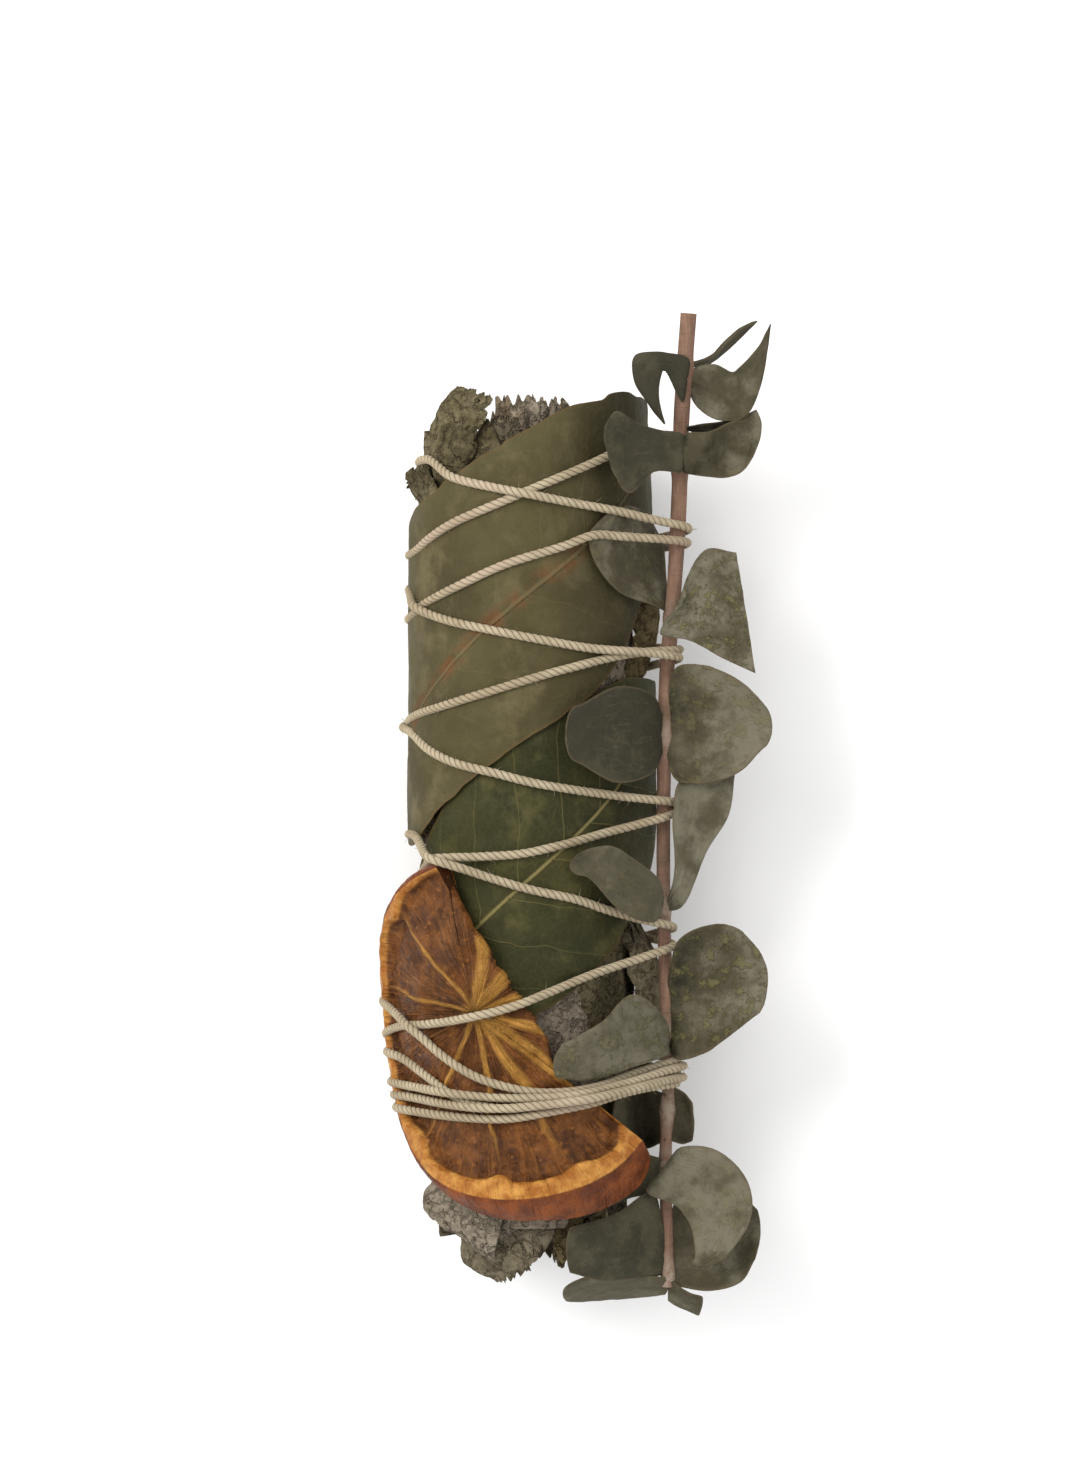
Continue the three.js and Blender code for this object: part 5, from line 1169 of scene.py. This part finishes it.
sprig = Pile()
flat = 0 * stem_radius
stem_along = np.stack([stem_line[:, 1], flat, flat], -1)
dusty = np.exp(-((nearest / 3) ** 2)) * ease(-stem_line[:, 1], -70, 20)
round_tube(sprig, stem_line, stem_radius, STEM_SIDES, pale=flat, crust=flat, wood=1 + flat, node=dusty)
sprig.stored["leaf_mm"] = [np.repeat(stem_along, STEM_SIDES, axis=0)]
sprig.stored["edge"] = [np.zeros(STEM_STEPS * STEM_SIDES)]
sprig.stored["back"] = [np.zeros(STEM_STEPS * STEM_SIDES)]
for place in range(len(EUCALYPTUS)):
    sprig_leaf(sprig, place)

bloom = Paint("eucalyptus_leaf")
pale = bloom.value("pale")
crust = bloom.value("crust")
worn = bloom.noise(6, 5, 0.62)
pale_here = bloom.math("ADD", pale, bloom.step(worn, 0.35, 0.68, -0.22, 0.25), clamp=True)
colour = bloom.mix(bloom.step(pale_here, 0.0, 0.5), linear((26, 25, 20)), linear((70, 65, 50)))
colour = bloom.mix(bloom.step(pale_here, 0.45, 1.0), colour, linear((108, 103, 87)))
moss = bloom.math("MULTIPLY", crust, bloom.step(bloom.noise(2.6, 5, 0.7), 0.5, 0.62))
colour = bloom.mix(bloom.math("MULTIPLY", moss, 0.7), colour, linear((102, 97, 62)))
flakes = bloom.math("MULTIPLY", crust, bloom.step(bloom.noise(1.1, 3), 0.66, 0.72))
colour = bloom.mix(bloom.math("MULTIPLY", flakes, 0.6), colour, linear((50, 44, 30)))
colour = bloom.mix(bloom.math("MULTIPLY", bloom.value("back"), 0.35), colour, linear((84, 80, 64)))
colour = bloom.mix(bloom.step(bloom.value("edge"), 0.93, 1.0, 0, 0.45), colour, linear((96, 84, 64)))
leaf_veins = bloom.wrinkles(5, 0.02, bloom.point("leaf_mm"))
colour = bloom.mix(bloom.math("MULTIPLY", leaf_veins, 0.15), colour, linear((112, 104, 82)))
grain = bloom.noise(1.0, 4, stretch=(3, 0.25, 3))
bark = bloom.mix(grain, linear((94, 66, 53)), linear((146, 118, 100)))
bark = bloom.mix(bloom.step(bloom.noise(5, 3), 0.5, 0.7), bark, linear((104, 84, 68)))
low = bloom.math("MULTIPLY", bloom.value("node"), bloom.step(bloom.noise(1.5, 4), 0.3, 0.6))
bark = bloom.mix(bloom.math("MULTIPLY", low, 0.8), bark, linear((150, 138, 122)))
colour = bloom.mix(bloom.value("wood"), colour, bark)
bumps = [(bloom.noise(7, 4), 0.8), (bloom.noise(1.4, 5, 0.65), 0.25), (moss, 0.25), (leaf_veins, 0.05)]
bloom_finish = bloom.finish(colour, bloom.step(worn, 0.3, 0.7, 0.65, 0.85), bumps, specular=0.08)
eucalyptus_sprig = sprig.make("eucalyptus_sprig_leaves", bloom_finish)
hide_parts("eucalyptus_sprig")
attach(eucalyptus_sprig, "root")

# String
# One three-ply cotton string, drawn tight all the way. It starts at a knot low on the left of the back, goes
# up the bundle in open turns, comes down across them, and ends at the knot with the turns of a band.

STRING_RADIUS = 0.74
STRING_SUNK = 0.3
SUNK_AT_LEFT = 0.6
CROSSING = 1.45
TWIST_PITCH = 3.6
STRING_SIDES = 13
STRING_STEP = 0.32
ROUTE_STEP = 1.2
ROUTE_POINTS = 12000
TIGHTENINGS = 60
OUTSIDE = 45.0
KNOT_DEGREES, KNOT_Y, KNOT_HEIGHT, KNOT_LOOP = -134.0, -47.3, 3.0, 1.35
KNOT_STRING_RADIUS = 0.72
KNOT_STEPS = 60
FIBRE_COUNT = 900
FIBRE_RADII = (0.035, 0.035, 0.03, 0.025, 0.012)

# The way of the string as [degrees round from the top, y]
STRING_ROUTE = [
    [-150, -49],
    [-132, -46.5],
    [-98, -45.5],
    [-63, -46.4],
    [-34, -46.9],
    [-8, -47],
    [9, -45.8],
    [47, -43],
    [76, -42.2],
    [120, -42.4],
    [180, -41],
    [240, -38],
    [286, -32.8],
    [316, -31.6],
    [335, -30.4],
    [352, -28.6],
    [368, -26.2],
    [389, -23.6],
    [414, -21.1],
    [436, -18.6],
    [480, -17],
    [540, -13],
    [600, -9],
    [650, -6.8],
    [676, -3.9],
    [698, -3.4],
    [717, -2.9],
    [736, -1.5],
    [757, 0.3],
    [774, 1.7],
    [797, 4.1],
    [840, 8],
    [900, 13],
    [960, 17.6],
    [1004, 19.9],
    [1036, 21.8],
    [1058, 23.8],
    [1096, 27.9],
    [1134, 30.9],
    [1158, 31.6],
    [1200, 32.6],
    [1260, 34.4],
    [1320, 36.4],
    [1364, 37.2],
    [1382, 39.1],
    [1404, 41.7],
    [1431, 45.7],
    [1456, 48.6],
    [1469, 50.5],
    [1482, 50.4],
    [1507, 49.8],
    [1520, 49.2],
    [1560, 48.6],
    [1620, 48.2],
    [1680, 48],
    [1729, 48.1],
    [1747, 50.2],
    [1763, 52.5],
    [1784, 55.4],
    [1806, 58.8],
    [1829, 62.4],
    [1846, 65.2],
    [1862, 66.2],
    [1876, 66.4],
    [1908, 65.2],
    [1950, 63],
    [2020, 61.4],
    [2080, 63],
    [2103, 63.6],
    [2123, 60.4],
    [2147, 58.3],
    [2175, 56.3],
    [2202, 54.6],
    [2238, 51.4],
    [2280, 49.6],
    [2340, 46],
    [2400, 43],
    [2442, 41.1],
    [2466, 37.7],
    [2484, 36],
    [2498, 35],
    [2523, 33.2],
    [2549, 31.6],
    [2574, 30.9],
    [2596, 29.8],
    [2640, 27.4],
    [2700, 23],
    [2760, 19.2],
    [2807, 17.2],
    [2826, 14.6],
    [2844, 12.4],
    [2864, 10.7],
    [2883, 9],
    [2903, 7.8],
    [2925, 6.8],
    [2956, 5.4],
    [3000, 2.6],
    [3036, 0.8],
    [3060, 0],
    [3084, -0.3],
    [3120, -0.4],
    [3177, -0.3],
    [3196, -2.9],
    [3211, -5.1],
    [3224, -7],
    [3243, -9],
    [3263, -10.5],
    [3285, -12.9],
    [3316, -15.8],
    [3360, -18.6],
    [3420, -22.4],
    [3480, -26],
    [3510, -28.1],
    [3544, -31.8],
    [3563, -36.7],
    [3575, -39.3],
    [3587, -41.1],
    [3598, -42.2],
    [3608, -42.6],
    [3629, -41.9],
    [3654, -39.8],
    [3674, -38.3],
    [3720, -37.6],
    [3780, -37],
    [3840, -36.8],
    [3889, -37.6],
    [3908, -40],
    [3923, -42.3],
    [3935, -44.4],
    [3947, -45.2],
    [3955, -45.3],
    [3968, -44.2],
    [3983, -43.2],
    [4005, -41.8],
    [4036, -40.2],
    [4080, -39.8],
    [4140, -39.6],
    [4200, -41.4],
    [4253, -42.2],
    [4286, -42.8],
    [4303, -43.4],
    [4318, -43.5],
    [4335, -43],
    [4367, -41],
    [4396, -39.3],
    [4440, -41.6],
    [4500, -43.2],
    [4560, -44.4],
    [4616, -44.2],
    [4648, -44.9],
    [4669, -45.2],
    [4685, -44.6],
    [4715, -42.7],
    [4756, -41.2],
    [4800, -44.2],
    [4860, -46.8],
    [4908, -48],
    [4922, -50.5],
]

held = Pile()
round_tube(held, stem_line, stem_radius, 12)
for place in HELD_LEAVES:
    sprig_leaf(held, place)
bound = [sage, *bay_piles, orange, held]
trees = [BVHTree.FromPolygons(np.vstack(pile.points).tolist(), pile.faces) for pile in bound]


def cover(phi, y):
    """How far from the axis the bound pieces reach at phi and y."""
    outward = Vector((math.sin(phi), 0, math.cos(phi)))
    start = Vector((BUNDLE_X, y, BUNDLE_Z)) + outward * OUTSIDE
    hits = [tree.ray_cast(start, -outward, OUTSIDE) for tree in trees]
    return OUTSIDE - min([hit[3] for hit in hits if hit[3] is not None] or [OUTSIDE - HALF_WIDTH])


lay = HALF_WIDTH + 4
flat_route = [[math.radians(degrees) * lay, y, 0] for degrees, y in STRING_ROUTE]
fine = along_curve(flat_route, np.linspace(0, 1, ROUTE_POINTS))
run = np.concatenate([[0], np.cumsum(np.linalg.norm(np.diff(fine, axis=0), axis=1))])
count = round(run[-1] / ROUTE_STEP)
even = np.linspace(0, run[-1], count + 1)
way_phi = np.interp(even, run, fine[:, 0]) / lay
way_y = np.interp(even, run, fine[:, 1])
beside = ((0, 0), (0.05, 0), (-0.05, 0), (0, 0.7), (0, -0.7))
least = np.array([
    max(cover(phi + d_phi, y + d_y) for d_phi, d_y in beside) + STRING_RADIUS
    for phi, y in zip(way_phi, way_y)
])
from_left = np.abs(np.mod(way_phi + 1.5 * math.pi, math.tau) - math.pi)
least -= STRING_SUNK + SUNK_AT_LEFT * (1 - ease(from_left, 0.3, 1.0))
radius = least.copy()
window = round(math.pi * lay / ROUTE_STEP)
for start in range(0, count, window):
    stop = min(start + window, count)
    for i in range(start, stop + 1):
        earlier = slice(0, max(i - window, 0))
        turn = (way_phi[i] - way_phi[earlier]) / math.tau
        round_apart = (turn - np.round(turn)) * math.tau * radius[earlier]
        apart = np.hypot(round_apart, way_y[i] - way_y[earlier])
        near = apart < CROSSING
        if near.any():
            lifted = radius[earlier][near] + np.sqrt(CROSSING**2 - apart[near] ** 2)
            least[i] = max(least[i], lifted.max())
    radius[start : stop + 1] = np.maximum(radius[start : stop + 1], least[start : stop + 1])
    low = max(start - window, 1)
    sines = np.sin(np.diff(way_phi))
    both = np.sin(way_phi[2:] - way_phi[:-2])
    for _ in range(TIGHTENINGS):
        for i in range(low, stop):
            a, b = radius[i - 1], radius[i + 1]
            radius[i] = max(least[i], a * b * both[i - 1] / (a * sines[i - 1] + b * sines[i]))
radius[1:-1] = (radius[:-2] + 2 * radius[1:-1] + radius[2:]) / 4
height = BUNDLE_Z + radius * np.cos(way_phi)
height = np.maximum(height - 0.36 * (1 - ease(height, 1, 3)), 0.6)
string_line = np.stack([BUNDLE_X + radius * np.sin(way_phi), way_y, height], -1)
string_line = along_curve(string_line, np.linspace(0, 1, round(run[-1] / STRING_STEP)))
string_run = np.concatenate([[0], np.cumsum(np.linalg.norm(np.diff(string_line, axis=0), axis=1))])


def plies(run_mm):
    def lobes(angle):
        turned = angle[None, :] - (math.tau * run_mm / TWIST_PITCH)[:, None]
        return 0.86 + 0.16 * np.abs(np.cos(1.5 * turned)) ** 0.8

    return lobes


twine = Pile()
wobble = 1 + 0.05 * lumps(np.stack([string_run, 0 * string_run, 0 * string_run], -1), 3, 8)
radii = STRING_RADIUS * wobble
ring = round_tube(twine, string_line, radii, STRING_SIDES, plies(string_run), run=string_run)
for k, along in enumerate((-0.7, 0.8)):
    turn = np.linspace(0, math.tau, KNOT_STEPS)
    loop = np.stack([0 * turn + along, KNOT_LOOP * np.cos(turn), KNOT_LOOP * np.sin(turn)], -1)
    loop[:, 0] += 0.3 * along * np.cos(turn)
    phi = math.radians(KNOT_DEGREES)
    spin = np.array([[math.cos(phi), 0, -math.sin(phi)], [0, 1, 0], [math.sin(phi), 0, math.cos(phi)]])
    loop = loop @ spin + around(phi, KNOT_Y, KNOT_HEIGHT)
    loop_run = np.linspace(0, math.tau * KNOT_LOOP, KNOT_STEPS)
    round_tube(twine, loop, KNOT_STRING_RADIUS, STRING_SIDES, plies(loop_run), run=loop_run)
twine.points[0][:, 2] = np.maximum(twine.points[0][:, 2], 0)

# Loose fibres that stand off the string
random = random_from(5)
for _ in range(FIBRE_COUNT):
    i = int(next(random) * (len(string_line) - 2))
    root = string_line[i]
    skin = ring[i, int(next(random) * STRING_SIDES)]
    out = (skin - root) / np.linalg.norm(skin - root)
    along = string_line[i + 1] - root
    along /= np.linalg.norm(along)
    reach, lean = 0.5 + 1.1 * next(random), 2.2 * next(random) - 1.1
    s = np.linspace(0, 1, 5)[:, None]
    hair = root + out * (0.7 + reach * 0.7 * s) + along * lean * s + np.array([0, 0, -0.25]) * s * s
    if hair[:, 2].min() > 0.05:
        round_tube(twine, hair, np.array(FIBRE_RADII), 3, run=np.full(5, string_run[i]))

cotton = Paint("cotton_string")
fibres = cotton.noise(0.5, 4, 0.7)
winding = cotton.tree.nodes.new("ShaderNodeSeparateXYZ")
cotton.put(winding.inputs[0], cotton.point("run"))
turned = cotton.math("MULTIPLY", cotton.math("ARCTAN2", winding.outputs[1], winding.outputs[0]), 1.5)
twist = cotton.math("MULTIPLY", winding.outputs[2], 3000 * math.pi / TWIST_PITCH)
ply = cotton.math("ABSOLUTE", cotton.math("COSINE", cotton.math("SUBTRACT", turned, twist)))
grooves = cotton.step(ply, 0.0, 0.55, 1, 0)
colour = cotton.step(cotton.noise(9, 3), 0.35, 0.65)
colour = cotton.mix(colour, linear((152, 138, 114)), linear((172, 159, 134)))
# Painted shade: darker in the grooves between the plies
colour = cotton.mix(cotton.math("MULTIPLY", grooves, 0.45), colour, linear((84, 70, 52)))
soiled = cotton.math("MULTIPLY", cotton.step(fibres, 0.5, 0.75), 0.4)
colour = cotton.mix(soiled, colour, linear((122, 106, 84)))
pink = cotton.step(cotton.noise(30, 2), 0.55, 0.7, 0, 0.5)
colour = cotton.mix(pink, colour, linear((170, 150, 132)))
cotton_finish = cotton.finish(colour, 0.95, [(fibres, 0.12), (grooves, -0.15)], specular=0.08)
string = twine.make("string_cotton", cotton_finish, sharp=math.radians(80))
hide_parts("string")
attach(string, "root")
